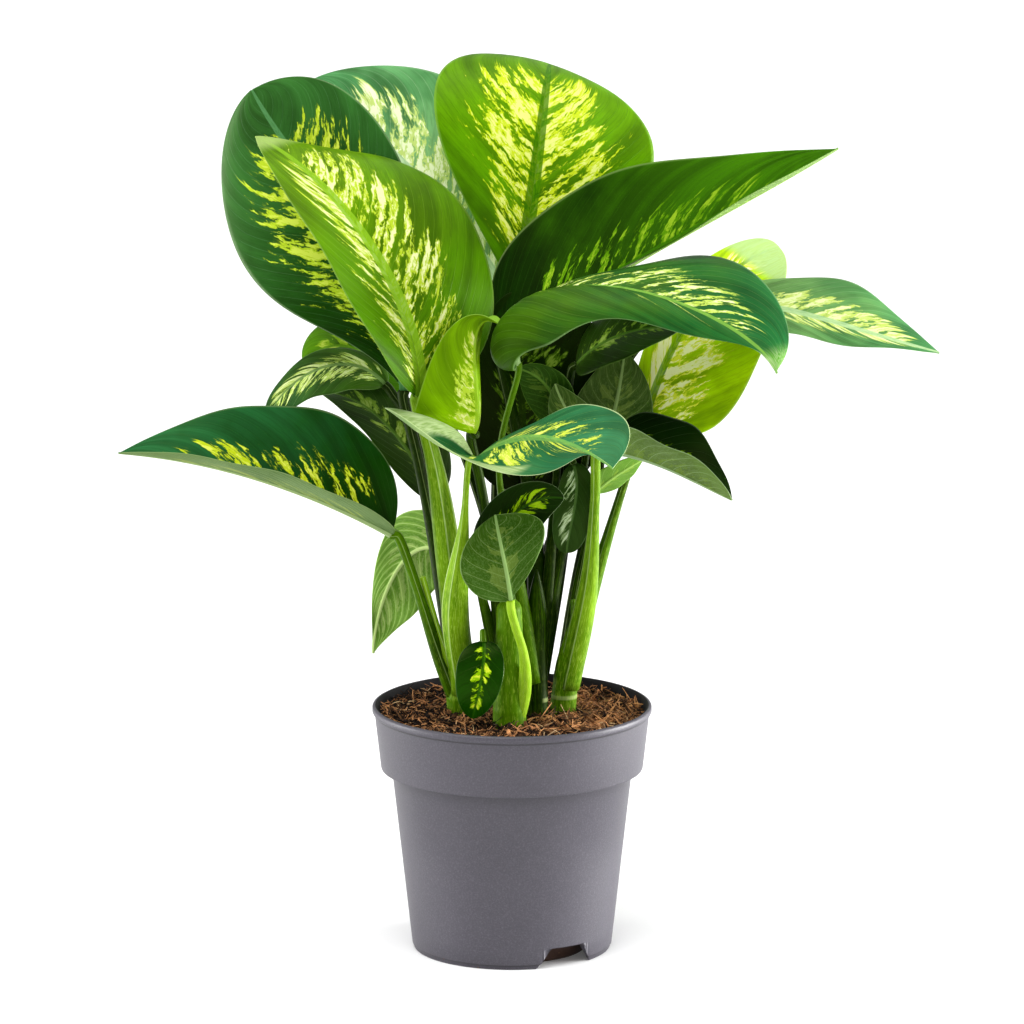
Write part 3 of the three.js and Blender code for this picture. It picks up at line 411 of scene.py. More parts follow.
class Paint:
    """A material under construction on one Principled shader."""

    def __init__(self, name, **constants):
        self.material = bpy.data.materials.new(name)
        self.material.use_nodes = True
        self.tree = self.material.node_tree
        self.shader = self.tree.nodes["Principled BSDF"]
        for socket, value in constants.items():
            self.shader.inputs[socket.replace("_", " ")].default_value = value

    def node(self, kind, settings, *values, out=0):
        """A node of that kind with its settings and the values or links of its sockets in order."""
        made = self.tree.nodes.new(kind)
        for key, value in settings.items():
            setattr(made, key, value)
        for socket, value in zip(made.inputs, values):
            if isinstance(value, Wire):
                self.tree.links.new(value.socket, socket)
            elif value is not None:
                socket.default_value = value
        return Wire(self, made.outputs[out])

    def mix(self, share, first, second, mode="MIX"):
        """The first colour at share 0 and the second at 1; each is a wire or three numbers to 255."""
        settings = dict(data_type="RGBA", blend_type=mode)
        colours = [c if isinstance(c, Wire) else linear(c) for c in (first, second)]
        return self.node("ShaderNodeMix", settings, share, *[None] * 5, *colours, out=2)

    def vector(self, x, y, z):
        """Three numbers as one vector."""
        return self.node("ShaderNodeCombineXYZ", {}, x, y, z)

    def noise(self, place, scale, detail=2.0, rough=0.5, bend=0.0):
        """Smooth noise about 0.5 at each place; bend distorts it."""
        values = [place, None, scale, detail, rough, None, None, None, bend]
        return self.node("ShaderNodeTexNoise", {}, *values)

    def surface_noise(self, x, y, layer, detail=2.0, rough=0.5, bend=0.0):
        """Noise over two numbers of a surface; each layer is another one."""
        return self.noise(self.vector(x, y, layer), 1.0, detail, rough, bend)

    def place(self):
        """The place on the piece, in metres."""
        return self.node("ShaderNodeTexCoord", {}, out=3)

    def part(self, vector, axis):
        """One number of a vector: 0 for x, 1 for y, 2 for z."""
        return self.node("ShaderNodeSeparateXYZ", {}, vector, out=axis)

    def uv(self, layer):
        """The two numbers of a UV layer."""
        pair = self.node("ShaderNodeUVMap", dict(uv_map=layer))
        return [self.part(pair, axis) for axis in (0, 1)]

    def own(self, attribute):
        """The number that each point of the piece carries."""
        return self.node("ShaderNodeAttribute", dict(attribute_name=attribute), out=2)

    def set(self, socket, wire):
        """Links a wire to a socket of the shader."""
        self.tree.links.new(wire.socket, self.shader.inputs[socket])

    def bump(self, height, strength, distance):
        """Makes the shading follow a height, at most that distance in metres."""
        made = self.tree.nodes.new("ShaderNodeBump")
        made.inputs["Strength"].default_value = strength
        made.inputs["Distance"].default_value = distance
        self.tree.links.new(height.socket, made.inputs["Height"])
        self.tree.links.new(made.outputs["Normal"], self.shader.inputs["Normal"])


def grid_faces(rows, columns, closed_round=False):
    """Quads between the rows of a grid of points, joined round each row where it is closed."""
    row = np.arange(rows - 1)[:, None] * columns
    column = np.arange(columns if closed_round else columns - 1)[None, :]
    beside = (column + 1) % columns
    corners = [row + column, row + beside, row + columns + beside, row + columns + column]
    return np.stack([c.ravel() for c in np.broadcast_arrays(*corners)], 1)


def tube_faces(rows, sides):
    """The faces of a closed tube: quads between its rings, then its first end and its last."""
    count = rows * sides
    ends = [list(range(sides))[::-1], list(range(count - sides, count))]
    return grid_faces(rows, sides, closed_round=True).tolist() + ends


def round_axis(r, angle, z):
    """Points at the distance r and that angle round the pot's axis, at height z."""
    return np.stack([r * np.cos(angle), r * np.sin(angle), z], -1)


def mesh_of(name, points, faces, paint, layers=None, attributes=None, flat=False):
    """A mesh object from points in millimetres; layers hold a UV pair and attributes a number a point."""
    mesh = bpy.data.meshes.new(name)
    mesh.from_pydata((points * MM).tolist(), [], faces.tolist() if hasattr(faces, "tolist") else faces)
    mesh.polygons.foreach_set("use_smooth", np.full(len(mesh.polygons), not flat))
    corners = np.empty(len(mesh.loops), np.int32)
    mesh.loops.foreach_get("vertex_index", corners)
    for layer, pairs in (layers or {}).items():
        made = mesh.uv_layers.new(name=layer)
        made.data.foreach_set("uv", pairs[corners].astype(np.float32).ravel())
    for key, values in (attributes or {}).items():
        made = mesh.attributes.new(key, "FLOAT", "POINT")
        made.data.foreach_set("value", values.astype(np.float32))
    mesh.materials.append(paint.material)
    mesh.update()
    piece = bpy.data.objects.new(name, mesh)
    bpy.context.scene.collection.objects.link(piece)
    return piece


def unit(vectors):
    """Each vector divided by its length."""
    return vectors / np.maximum(np.linalg.norm(vectors, axis=-1, keepdims=True), 1e-9)


def square_to(normal, tangent):
    """The normal less its share along the tangent, at length 1."""
    return unit(normal - tangent * (normal * tangent).sum(-1, keepdims=True))


def cubic_through(points, t):
    """The cubic through four points, each at its share of the path's length, at each t."""
    p = np.array(points, float)
    far = np.concatenate([[0], np.cumsum(np.linalg.norm(np.diff(p, axis=0), axis=1))])
    at = far / far[3]
    total = 0
    for i in range(4):
        others = [j for j in range(4) if j != i]
        weight = np.prod([(t - at[j]) / (at[i] - at[j]) for j in others], axis=0)
        total = total + weight[..., None] * p[i]
    return total


def tangent_of(points, t):
    """The way from just before t to just after it on the cubic."""
    return unit(cubic_through(points, t + 0.002) - cubic_through(points, t - 0.002))


def carried_normals(tangents, start, first):
    """Normals carried along the tangents without spin, up and down from the given start."""
    normals = np.zeros_like(tangents)
    normals[start] = square_to(np.array(first, float), tangents[start])
    for i in range(start + 1, len(tangents)):
        normals[i] = square_to(normals[i - 1], tangents[i])
    for i in range(start - 1, -1, -1):
        normals[i] = square_to(normals[i + 1], tangents[i])
    return normals


def frames_along(leaf, s):
    """Origin, normal and side of the midrib's frame at each s."""
    steps = 48
    tangents = tangent_of(leaf["rib"], np.arange(steps + 1) / steps)
    normals = carried_normals(tangents, steps // 2, leaf["face"])
    place = np.clip(s, 0, 1) * steps
    i = np.minimum(place.astype(int), steps - 1)
    share = (place - i)[..., None]
    tangent = tangent_of(leaf["rib"], s)
    normal = square_to(normals[i] * (1 - share) + normals[i + 1] * share, tangent)
    return cubic_through(leaf["rib"], s), normal, np.cross(tangent, normal)


def blend(a, b, t):
    """a at t 0, b at t 1 and even between."""
    return a + (b - a) * t


def outline(a, b, s):
    """Half width as a share of the widest: s to the power a times 1 - s to the power b."""
    peak = a / (a + b)
    return s ** a * (1 - s) ** b / (peak ** a * (1 - peak) ** b)


def half_width(leaf, s, u):
    """The half width at s, in millimetres, on the side that u is on."""
    hand = (u >= 0).astype(int)
    half = np.array(leaf["half"])[hand]
    a = np.array(leaf["shape"])[2 * hand]
    b = np.array(leaf["shape"])[2 * hand + 1]
    share = outline(a, b, s)
    return np.maximum(half * share, blend(STALK_HALF, TIP_HALF, s)), share


def sheet(leaf, s, u):
    """The blade's middle sheet at s along and u across, from -1 left to 1 right.

    Each half leaves the midrib at the fold angle and follows an arc that turns by the curl angle,
    its width is the outline's, and the margin waves along its length.
    """
    origin, normal, side = frames_along(leaf, s)
    hand = (u >= 0).astype(int)
    across = np.abs(u)
    width, share = half_width(leaf, s, u)
    mix = s ** leaf.get("ease", 1)
    fold, curl = (np.broadcast_to(leaf[turn], 4) for turn in ("fold", "curl"))
    fold = np.radians(blend(fold[2 * hand], fold[2 * hand + 1], mix))
    curl = np.radians(blend(curl[2 * hand], curl[2 * hand + 1], mix)) + 1e-4
    out = (np.sin(fold + curl * across) - np.sin(fold)) / curl
    up = (np.cos(fold) - np.cos(fold + curl * across)) / curl
    height, count, start = leaf["wave"]
    swing = np.sin(2 * np.pi * (count * s + start + 0.37 * hand))
    wave = height * across ** 2 * swing * np.sin(np.pi * s)
    rib = np.array(leaf["rib"], float)
    ahead = unit(rib[3] - rib[0])
    reach = np.array(leaf.get("sweep", (0, 0)))[hand] * np.minimum(1, s / 0.1) * (1 - s) ** 3
    back = reach * share * across ** 2
    return (origin - ahead * back[..., None] + side * ((2 * hand - 1) * out * width)[..., None]
            + normal * (up * width + wave)[..., None])


def look_of(leaf):
    """A leaf's finish: the plain values, with those of its look instead where it has them."""
    return {**PLAIN, **LOOKS[leaf["look"]]}


def size_of(leaf):
    """1 for a blade of the full half width or more, and its share of that for a narrower one."""
    return min(1, max(leaf["half"]) / FULL_HALF_WIDTH)


def blade(name, leaf, paint):
    """A closed blade on a grid: the sheet moved out along its normal on both sides.

    Between the side veins both faces swell a little, the midrib is a groove or a low rib above and
    a round rib below, and the thickness falls off to a thin margin.
    """
    wide = max(leaf["half"])
    rows, columns = FINE_GRID if wide >= FINE_FROM else COARSE_GRID
    length = np.linalg.norm(np.diff(np.array(leaf["rib"], float), axis=0), axis=1).sum()
    even = np.linspace(0, 1, rows)
    s = blend(even, (1 - np.cos(np.pi * even)) / 2, 0.75)
    even = np.linspace(-1, 1, columns)
    u = np.sign(even) * np.abs(even) ** 1.35
    s, u = np.meshgrid(s, u, indexing="ij")
    middle = sheet(leaf, s, u)
    inside = np.clip(s, 0.005, 0.995)
    within = np.clip(u, -0.98, 0.98)
    right = sheet(leaf, inside, within + 0.02) - sheet(leaf, inside, within - 0.02)
    ahead = sheet(leaf, inside + 0.004, within) - sheet(leaf, inside - 0.004, within)
    normal = unit(np.cross(right, ahead))
    width, _ = half_width(leaf, s, u)
    off = np.abs(u) * width
    look = look_of(leaf)
    vein = length * (s - look["slant"] * (0.65 * np.abs(u) + 0.35 * u * u))
    spacing = 2 + 0.045 * length
    swell = np.abs(np.sin(np.pi * vein / spacing)) ** 0.7 - 0.6
    swell = swell * (0.7 + 0.5 * np.sin(vein * 0.11 + off * 0.07 + length))
    calm = np.clip(off / 5, 0, 1) * np.clip((1 - np.abs(u)) * 4, 0, 1)
    swell = swell * calm * look["quilt"] * min(0.32, 0.005 * wide) * np.clip(np.minimum(s, 1 - s) * 8, 0, 1)
    thick = BLADE_THICK * (0.3 + 0.7 * np.sqrt(np.clip(1 - np.abs(u) ** 6, 0, 1)))
    taper = (1 - s) ** 0.6
    groove = np.exp(-(off / (0.6 + 80 * look["rib_width"] * taper)) ** 2) * taper * look["raised"]
    size = size_of(leaf)
    ridge = np.exp(-(off / (0.7 + 1.6 * taper * size)) ** 4) * (1.6 * taper * size + 0.1)
    top = middle + normal * (thick / 2 + swell + groove)[..., None]
    under = middle - normal * (thick / 2 - swell + ridge)[..., None]
    ring = np.concatenate([top, under[:, ::-1]], 1)
    points = ring.reshape(-1, 3)
    faces = grid_faces(rows, 2 * columns, closed_round=True)
    j = np.arange(columns - 1)
    ends = []
    for start, turn in ((0, 1), ((rows - 1) * 2 * columns, -1)):
        other = 2 * columns - 1 - j
        quad = np.stack([start + j, start + j + 1, start + other - 1, start + other], 1)
        ends.append(quad[:, ::-turn])
    faces = np.concatenate([faces, *ends])

    def both(values):
        """The values of the upper side and then those of the lower, as the ring of points has them."""
        return np.concatenate([values, values[:, ::-1]], 1).ravel()

    under_side = np.concatenate([np.zeros_like(u), np.ones_like(u)], 1).ravel()
    other_half = np.where(u < 0, 0, 400)
    layers = {
        "blade": np.stack([both(u) * 0.5 + 0.5, both(s)], 1),
        "veins": np.stack([both(vein + other_half) / 100, both(off) / 100], 1),
    }
    return mesh_of(name, points, faces, paint, layers, {"under": under_side})


def through_points(points, t):
    """The even Catmull-Rom curve through the points, at each t."""
    p = np.array(points, float)
    p = np.concatenate([[2 * p[0] - p[1]], p, [2 * p[-1] - p[-2]]])
    count = len(points) - 1
    place = np.clip(t, 0, 1) * count
    i = np.minimum(place.astype(int), count - 1)
    f = (place - i)[:, None]
    a, b, c, d = p[i], p[i + 1], p[i + 2], p[i + 3]
    return (a * (-0.5 * f + f ** 2 - 0.5 * f ** 3) + b * (1 - 2.5 * f ** 2 + 1.5 * f ** 3)
            + c * (0.5 * f + 2 * f ** 2 - 1.5 * f ** 3) + d * (-0.5 * f ** 2 + 0.5 * f ** 3))


def carried_profile(path, radius, opens, steps=48, sides=28):
    """A closed profile carried along a path: points, faces and the surface's own coordinates.

    path gives points at each t and radius the distance at each t and angle, where the angle is
    measured from the side that looks towards opens.
    """
    t = np.linspace(0, 1, steps)
    middle = path(t)
    tangents = unit(np.gradient(middle, axis=0))
    normals = carried_normals(tangents, 0, opens)
    sides_way = np.cross(tangents, normals)
    angle = np.linspace(-np.pi, np.pi, sides, endpoint=False)
    grid_t, grid_angle = np.meshgrid(t, angle, indexing="ij")
    r = radius(grid_t, grid_angle)[..., None]
    points = middle[:, None] + r * (normals[:, None] * np.cos(grid_angle)[..., None]
                                    + sides_way[:, None] * np.sin(grid_angle)[..., None])
    along = np.concatenate([[0], np.cumsum(np.linalg.norm(np.diff(middle, axis=0), axis=1))])
    coordinates = np.stack([grid_angle, np.broadcast_to(along[:, None], grid_t.shape) / 100], -1)
    return points.reshape(-1, 3), tube_faces(steps, sides), coordinates.reshape(-1, 2)


def joined(parts):
    """Several point sets with their faces and coordinates as one."""
    points, faces, coordinates, shift = [], [], [], 0
    for p, f, c in parts:
        points.append(p)
        faces += [[i + shift for i in face] for face in f]
        coordinates.append(c)
        shift += len(p)
    return np.concatenate(points), faces, np.concatenate(coordinates)


def narrowed(t, sheath):
    """0 on the sheath, 1 on the slender stalk, with a smooth change about the sheath's end."""
    share = np.clip((t - sheath + 0.2) / 0.4, 0, 1)
    return share * share * (3 - 2 * share)


def sheathed(girth, sheath):
    """Radius of a leaf stalk: it tapers, and a channel with raised edges runs up its sheath."""
    def radius(t, angle):
        base = blend(girth[0], girth[1], narrowed(t, sheath))
        wide = 1 - narrowed(t, sheath + 0.1)
        channel = 0.3 * wide * np.exp(-(angle / 0.4) ** 2)
        lips = 0.14 * wide * np.exp(-((np.abs(angle) - LIP_ANGLE) / 0.12) ** 2)
        ribs = 0.012 * np.sin(angle * 11)
        return base * (1 - channel + lips + ribs)
    return radius


def stalk_points(leaf):
    """The points that a leaf stalk passes: those given, one 7 mm short of its end, and its end."""
    tangent = tangent_of(leaf["rib"], np.array([0.0]))[0]
    end = cubic_through(leaf["rib"], np.array([0.0]))[0] + tangent * STALK_INTO_BLADE
    return [*map(np.array, leaf["stalk"]), end - tangent * 7, end]


def cane(values):
    """The path and radius of a cane: straight in the soil, leaning above it, ringed, with a rolled tip."""
    (x, y), lean = values["at"], values["lean"]
    more, taper = values.get("crown", (15, 30))
    low, bend, top = SOIL_TOP - HOLE_DEPTH + GAP, SOIL_TOP + 4, values["top"] + more

    def rise(t):
        """The height at t, and the share of the way from the bend to the top."""
        z = blend(low, top, t)
        return z, np.clip((z - bend) / (top - bend), 0, 1)

    def path(t):
        z, share = rise(t)
        return np.stack([x + lean[0] * share, y + lean[1] * share, z], -1)

    def radius(t, angle):
        z, share = rise(t)
        rings = sum(0.035 * np.exp(-((z - SOIL_TOP - above) / 0.9) ** 2) for above in CANE_RINGS)
        overlap = 0.05 * np.exp(-((np.abs(angle + 0.5 + share) - 0.2) / 0.14) ** 2) * share
        end = 1 - 0.9 * np.clip((z - top + taper) / taper, 0, 1) ** 1.6
        return values["radius"] * (blend(1, values["slim"], share) * end + rings + overlap)

    return path, radius


def shoot(name, paint):
    """A shoot: a ringed cane and the leaf stalks that leave it, each a profile carried along a path."""
    values = SHOOTS[name]
    x, y = values["at"]
    path, radius = cane(values)
    parts = [carried_profile(path, radius, (0, -1, 0), steps=90)]
    tones, opens = [values["tone"]], [0.0]
    grown = [dict(leaf, points=stalk_points(leaf)) for leaf in LEAVES.values()] + SPURS
    for stalk in grown:
        if stalk["come_from"] != name:
            continue
        points = stalk["points"]
        radius = sheathed(stalk["girth"], stalk.get("sheath", 0.3))
        way = stalk.get("opens", (-x * 0.4 - 3, -y - 12, 0))
        parts.append(carried_profile(lambda t: through_points(points, t), radius, way))
        tones.append(stalk["tone"])
        opens.append(1.0)
    points, faces, coordinates = joined(parts)
    sizes = [len(part[0]) for part in parts]
    attributes = {"tone": np.repeat(tones, sizes), "open": np.repeat(opens, sizes)}
    return mesh_of(name + "_stalks", points, faces, paint, {"stalk": coordinates}, attributes)


def pot_body(paint):
    """The pot: a closed profile turned about the axis, its skirt's lower edge lifted at two notches."""
    profile = np.array([
        (0, 0), (PAD_RADIUS - 1, 0), (PAD_RADIUS, 1), (PAD_RADIUS, SHELF_HEIGHT),
        (FOOT_RADIUS - 1.7, SHELF_HEIGHT), (FOOT_RADIUS - 1.7, 0.3), (FOOT_RADIUS - 1.4, 0),
        (FOOT_RADIUS - 0.3, 0), (FOOT_RADIUS, 0.4), (FOOT_RADIUS, FOOT_HEIGHT - 0.1),
        (BODY_LOW_RADIUS - 0.3, FOOT_HEIGHT), (BODY_LOW_RADIUS, FOOT_HEIGHT + 0.4),
        (blend(BODY_LOW_RADIUS, BODY_TOP_RADIUS, 0.1), blend(FOOT_HEIGHT, COLLAR_LOW, 0.1)),
        (blend(BODY_LOW_RADIUS, BODY_TOP_RADIUS, 0.5), blend(FOOT_HEIGHT, COLLAR_LOW, 0.5)),
        (BODY_TOP_RADIUS, COLLAR_LOW - 0.4), (BODY_TOP_RADIUS + 0.5, COLLAR_LOW),
        (COLLAR_LOW_RADIUS - 0.9, COLLAR_LOW), (COLLAR_LOW_RADIUS - 0.2, COLLAR_LOW + 0.3),
        (COLLAR_LOW_RADIUS, COLLAR_LOW + 1), (COLLAR_TOP_RADIUS - 0.1, POT_HEIGHT - 5.4),
        (COLLAR_TOP_RADIUS, POT_HEIGHT - 4.9), (COLLAR_TOP_RADIUS + 0.4, POT_HEIGHT - 4.5),
        (RIM_RADIUS - 0.3, POT_HEIGHT - 4.1), (RIM_RADIUS, POT_HEIGHT - 3.4),
        (RIM_RADIUS, POT_HEIGHT - 1.2), (RIM_RADIUS - 0.4, POT_HEIGHT - 0.4),
        (RIM_RADIUS - 1.1, POT_HEIGHT), (RIM_RADIUS - 2, POT_HEIGHT),
        (RIM_RADIUS - 2.7, POT_HEIGHT - 0.4), (RIM_RADIUS - 3, POT_HEIGHT - 1.4),
        (COLLAR_LOW_RADIUS - POT_WALL - 0.2, COLLAR_LOW + 3), (BODY_TOP_RADIUS - POT_WALL, COLLAR_LOW + 1),
        (BODY_LOW_RADIUS - POT_WALL + 1.4, SHELF_TOP), (PAD_RADIUS + 2, SHELF_TOP),
        (PAD_RADIUS + 2, POT_FLOOR), (0, POT_FLOOR),
    ], float)
    around = 360
    angle = np.arange(around) * 2 * np.pi / around
    r, angle = np.meshgrid(profile[:, 0], angle, indexing="ij")
    z = np.broadcast_to(profile[:, 1:2], r.shape).copy()
    x = r * np.cos(angle)
    y = r * np.sin(angle)
    skirt = (r > PAD_RADIUS + 6) & (z < NOTCH_HEIGHT)
    for degrees in NOTCH_ANGLES:
        way = math.radians(degrees - 90)
        along = -x * math.sin(way) + y * math.cos(way)
        facing = x * math.cos(way) + y * math.sin(way) > 0
        slope = NOTCH_LOW_HALF - NOTCH_TOP_HALF
        lift = np.clip((NOTCH_LOW_HALF - np.abs(along)) / slope, 0, 1) * NOTCH_HEIGHT
        z = np.where(skirt & facing, np.maximum(z, lift), z)
    wall = (r > BODY_LOW_RADIUS - 0.6) & (r < BODY_LOW_RADIUS + 0.2) & skirt
    body = blend(BODY_LOW_RADIUS, BODY_TOP_RADIUS, (z - FOOT_HEIGHT) / (COLLAR_LOW - FOOT_HEIGHT))
    raised = np.where(wall & (z > FOOT_HEIGHT + 0.5), body, r)
    points = round_axis(raised, angle, z).reshape(-1, 3)
    faces = grid_faces(len(profile), around, closed_round=True)[:, ::-1]
    piece = mesh_of("pot_shell", points, faces, paint)
    close_poles(piece)
    return piece


def close_poles(piece):
    """Merges the points that share a place on the axis and drops the faces that fall flat there."""
    made = bmesh.new()
    made.from_mesh(piece.data)
    bmesh.ops.remove_doubles(made, verts=made.verts, dist=1e-6)
    bmesh.ops.dissolve_degenerate(made, edges=made.edges, dist=1e-7)
    bmesh.ops.recalc_face_normals(made, faces=made.faces)
    made.to_mesh(piece.data)
    made.free()


def soil_height(x, y):
    """Long low waves, less the fourth power of the distance from the middle, falling to the back."""
    swells = np.sin(x * 0.13 + 1) * np.cos(y * 0.11)
    ripples = 0.6 * np.sin(x * 0.05 - y * 0.21 + 2)
    edge = np.hypot(x, y) / SOIL_RADIUS
    return SOIL_TOP + 1.1 * (swells + ripples) - 1.6 * edge ** 4 - 0.012 * y


def clods(x, y):
    """Small rounded lumps: several turned waves of falling length, multiplied in pairs."""
    total = 0
    for i, length in enumerate((9.0, 5.3, 3.4, 2.3)):
        turn = 1.3 + 2.1 * i
        a = x * math.cos(turn) + y * math.sin(turn)
        b = y * math.cos(turn) - x * math.sin(turn)
        total = total + length * 0.15 * np.sin(a * 2 * np.pi / length + i) * np.sin(b * 2 * np.pi / length)
    return total


def soil_plug(paint):
    """The soil: rings from the middle out over the uneven top, then down the pot's inner wall."""
    around = 240
    angle = np.arange(around) * 2 * np.pi / around
    shares = np.linspace(0.004, 1, 90)
    r, turn = np.meshgrid(shares * SOIL_RADIUS, angle, indexing="ij")
    x, y = r * np.cos(turn), r * np.sin(turn)
    top = np.stack([x, y, soil_height(x, y) + clods(x, y) * np.clip((1 - r / SOIL_RADIUS) * 20, 0, 1)], -1)
    lower = np.array([
        (COLLAR_LOW_RADIUS - POT_WALL - 0.6, COLLAR_LOW + 4),
        (BODY_TOP_RADIUS - POT_WALL - 0.5, COLLAR_LOW + 1.6),
        (BODY_LOW_RADIUS - POT_WALL + 0.9, SHELF_TOP + GAP),
        (PAD_RADIUS + 1.5, SHELF_TOP + GAP),
        (PAD_RADIUS + 1.5, POT_FLOOR + GAP),
    ])
    side = round_axis(lower[:, :1], angle, np.broadcast_to(lower[:, 1:], (len(lower), around)))
    points = np.concatenate([top, side]).reshape(-1, 3)
    faces = [face[::-1] for face in tube_faces(len(shares) + len(lower), around)]
    return mesh_of("soil_plug", points, faces, paint)


def fibres(name, paint, count, length, girth, seed, lift, sides):
    """Loose shreds on the soil: short curved prisms, each with its own place, turn and tone."""
    chance = np.random.default_rng(seed)
    r = SOIL_RADIUS * 0.985 * np.sqrt(chance.random(count))
    turn = chance.random(count) * 2 * np.pi
    x, y = r * np.cos(turn), r * np.sin(turn)
    reach = chance.uniform(*length, count)
    thick = chance.uniform(*girth, count)
    heading = chance.random(count) * 2 * np.pi
    tilt = chance.normal(0, 0.36, count)
    bend = chance.normal(0, 0.5, count)
    rings = 5
    t = np.linspace(-0.5, 0.5, rings)[None, :, None]
    way = np.stack([np.cos(heading), np.sin(heading), np.sin(tilt)], -1)[:, None]
    across = np.stack([-np.sin(heading), np.cos(heading), np.zeros(count)], -1)[:, None]
    middle = np.stack([x, y, np.zeros(count)], -1)[:, None]
    path = middle + way * t * reach[:, None, None] + across * (bend * reach)[:, None, None] * (t * t - 0.08)
    ground = soil_height(path[..., 0], path[..., 1]) + clods(path[..., 0], path[..., 1])
    path[..., 2] += ground + lift + thick[:, None] * 0.6
    angle = np.arange(sides) * 2 * np.pi / sides
    taper = 1 - 1.6 * t ** 2
    ring = (across[:, :, None] * np.cos(angle)[None, None, :, None]
            + np.array([0, 0, 1.0]) * np.sin(angle)[None, None, :, None])
    points = path[:, :, None] + ring * (taper * thick[:, None, None])[..., None]
    radius = np.hypot(points[..., 0], points[..., 1])
    squeeze = np.minimum(1, SOIL_RADIUS / radius)[..., None]
    points[..., :2] *= squeeze
    one = tube_faces(rings, sides)
    size = rings * sides
    faces = [[i + k * size for i in face] for k in range(count) for face in one]
    tone = np.repeat(chance.random(count), size)
    return mesh_of(name, points.reshape(-1, 3), faces, paint, None, {"tone": tone}, flat=True)


def leaf_paint(name, leaf, seed):
    """A blade's finish: streaks along the side veins, a marked midrib, and a paler veined lower side."""
    values = look_of(leaf)
    paint = Paint(name + "_finish", Specular_IOR_Level=0.12, Specular_Tint=linear(GREEN_SHEEN))
    across, along = paint.uv("blade")
    vein, off = paint.uv("veins")
    place = paint.place()
    share = abs(across - 0.5) * 2
    left, right = values["halves"]
    start, end = values["span"]
    reach = values["reach"]
    fine_grain = values["grain"]

    # The markings: streaks along bent side veins, thinning out towards the margin and the ends.
    amount = across.step(0.499, 0.501) * (right - left) + left
    ends = along.step(start, start + 0.1) * (1 - along.step(end - 0.16, end))
    fade = (1 - share.step(reach * 0.4, reach)) * amount * ends
    bend = paint.surface_noise(vein * 26, off * 26, seed + 9.0, 3.0, 0.6)
    bent = vein + (bend - 0.5) * 0.06
    broad = paint.surface_noise(bent * (15 * fine_grain), off * 5, seed * 1.7, bend=0.6)
    fine = paint.surface_noise(bent * (46 * fine_grain), off * 24, seed * 3.1, bend=0.9)
    level = broad * 0.66 + fine * 0.34 + (fade - 1) * 0.26 + (values["cover"] - 0.5) * 0.3
    marked = level.step(0.5, 0.512) * fade.step(0.02, 0.08)
    creamy = (level + (fine - 0.5) * 0.2).step(0.54, 0.62)

    # The green of the upper side, from base to tip, with painted shade in bands over the folds, side veins
    # and furrows.
    mottle = paint.noise(place, 26.0, 3.0, 0.55)
    # Painted shade: darker bands across the side veins, where the quilted blade folds.
    fold_shade_bands = paint.surface_noise(vein * 7, off * 1.2, seed + 20.0, 0.6, 0.4)
    green = paint.mix((along + (mottle - 0.5) * 0.9).step(0.1, 0.95), values["base"], values["tip"])
    deeper = paint.mix(1.0, green, (122, 132, 110), "MULTIPLY")
    green = paint.mix(mottle.step(0.35, 0.65) * 0.35 + fold_shade_bands.step(0.35, 0.7) * 0.4, green, deeper)
    jitter = vein + (mottle - 0.5) * 0.03
    ridges = abs((jitter * (100 * math.pi / values["vein_gap"])).math("SINE"))
    side_vein = (1 - ridges.step(0.0, values["vein_width"])) * (1 - share.step(0.85, 1.0))
    green = paint.mix(side_vein * 0.22, green, values["rib"])
    green = paint.mix(level.step(0.46, 0.5) * fade.step(0.02, 0.1) * 0.25, green, values["streak"])
    furrows = paint.surface_noise(vein * 60, off * 12, seed, 3.0, 0.6)
    green = paint.mix(furrows.step(0.4, 0.7) * 0.3, green, deeper)
    upper = paint.mix(marked, green, paint.mix(creamy, values["streak"], values["cream"]))

    # The midrib, the pale region and the margin.
    rib_half = (1 - along) ** 0.55 * (values["rib_width"] * size_of(leaf)) + 0.004
    rib = 1 - (off - rib_half).step(-0.002, 0.003)
    grain = paint.surface_noise(vein * 20, off * 90, seed)
    upper = paint.mix(rib * 0.9, upper, paint.mix(grain.step(0.35, 0.7) * 0.4, values["rib"], values["tip"]))
    if values["blush"]:
        colour, low, high, inner, outer = values["blush"]
        region = along.step(low, low + 0.06) * (1 - along.step(high - 0.06, high))
        region = region * across.step(inner, inner + 0.06) * (1 - across.step(outer - 0.06, outer))
        upper = paint.mix(region * 0.9, upper, paint.mix(grain.step(0.3, 0.7), colour, values["vein"]))
    margin = share.step(0.972, 0.99)
    upper = paint.mix(margin * values["edge"], upper, values["vein"])

    # The lower side: dull, with ridged veins and painted shade in the folds between them, a fine net between
    # them and the markings showing through.
    # Painted shade in the folds between the side veins, as deep as the quilt sets it.
    dark = ridges.step(0.25, 1.0) * (0.1 * values["quilt"]) + mottle.step(0.4, 0.7) * 0.3
    lower = paint.mix(dark, values["under"], values["base"])
    net = paint.surface_noise(vein * 46, off * 46, seed, rough=0.6)
    threads = 1 - abs(net - 0.5).step(0.01, 0.05)
    lower = paint.mix(side_vein * 0.4 + threads * 0.16, lower, values["vein"])
    lower = paint.mix(marked * 0.18, lower, values["cream"])
    lower = paint.mix(rib, lower, values["vein"])
    lower = paint.mix(margin * 0.6, lower, values["vein"])

    under = paint.own("under").step(0.4, 0.6)
    paint.set("Base Color", paint.mix(under, upper, lower))
    paint.set("Roughness", under * 0.16 + values["gloss"] + mottle * 0.1)
    relief = furrows * 0.5 + marked * 0.15 + (under * 1.4 - 0.7) * side_vein
    paint.bump(relief, 0.4, 0.0006)
    return paint


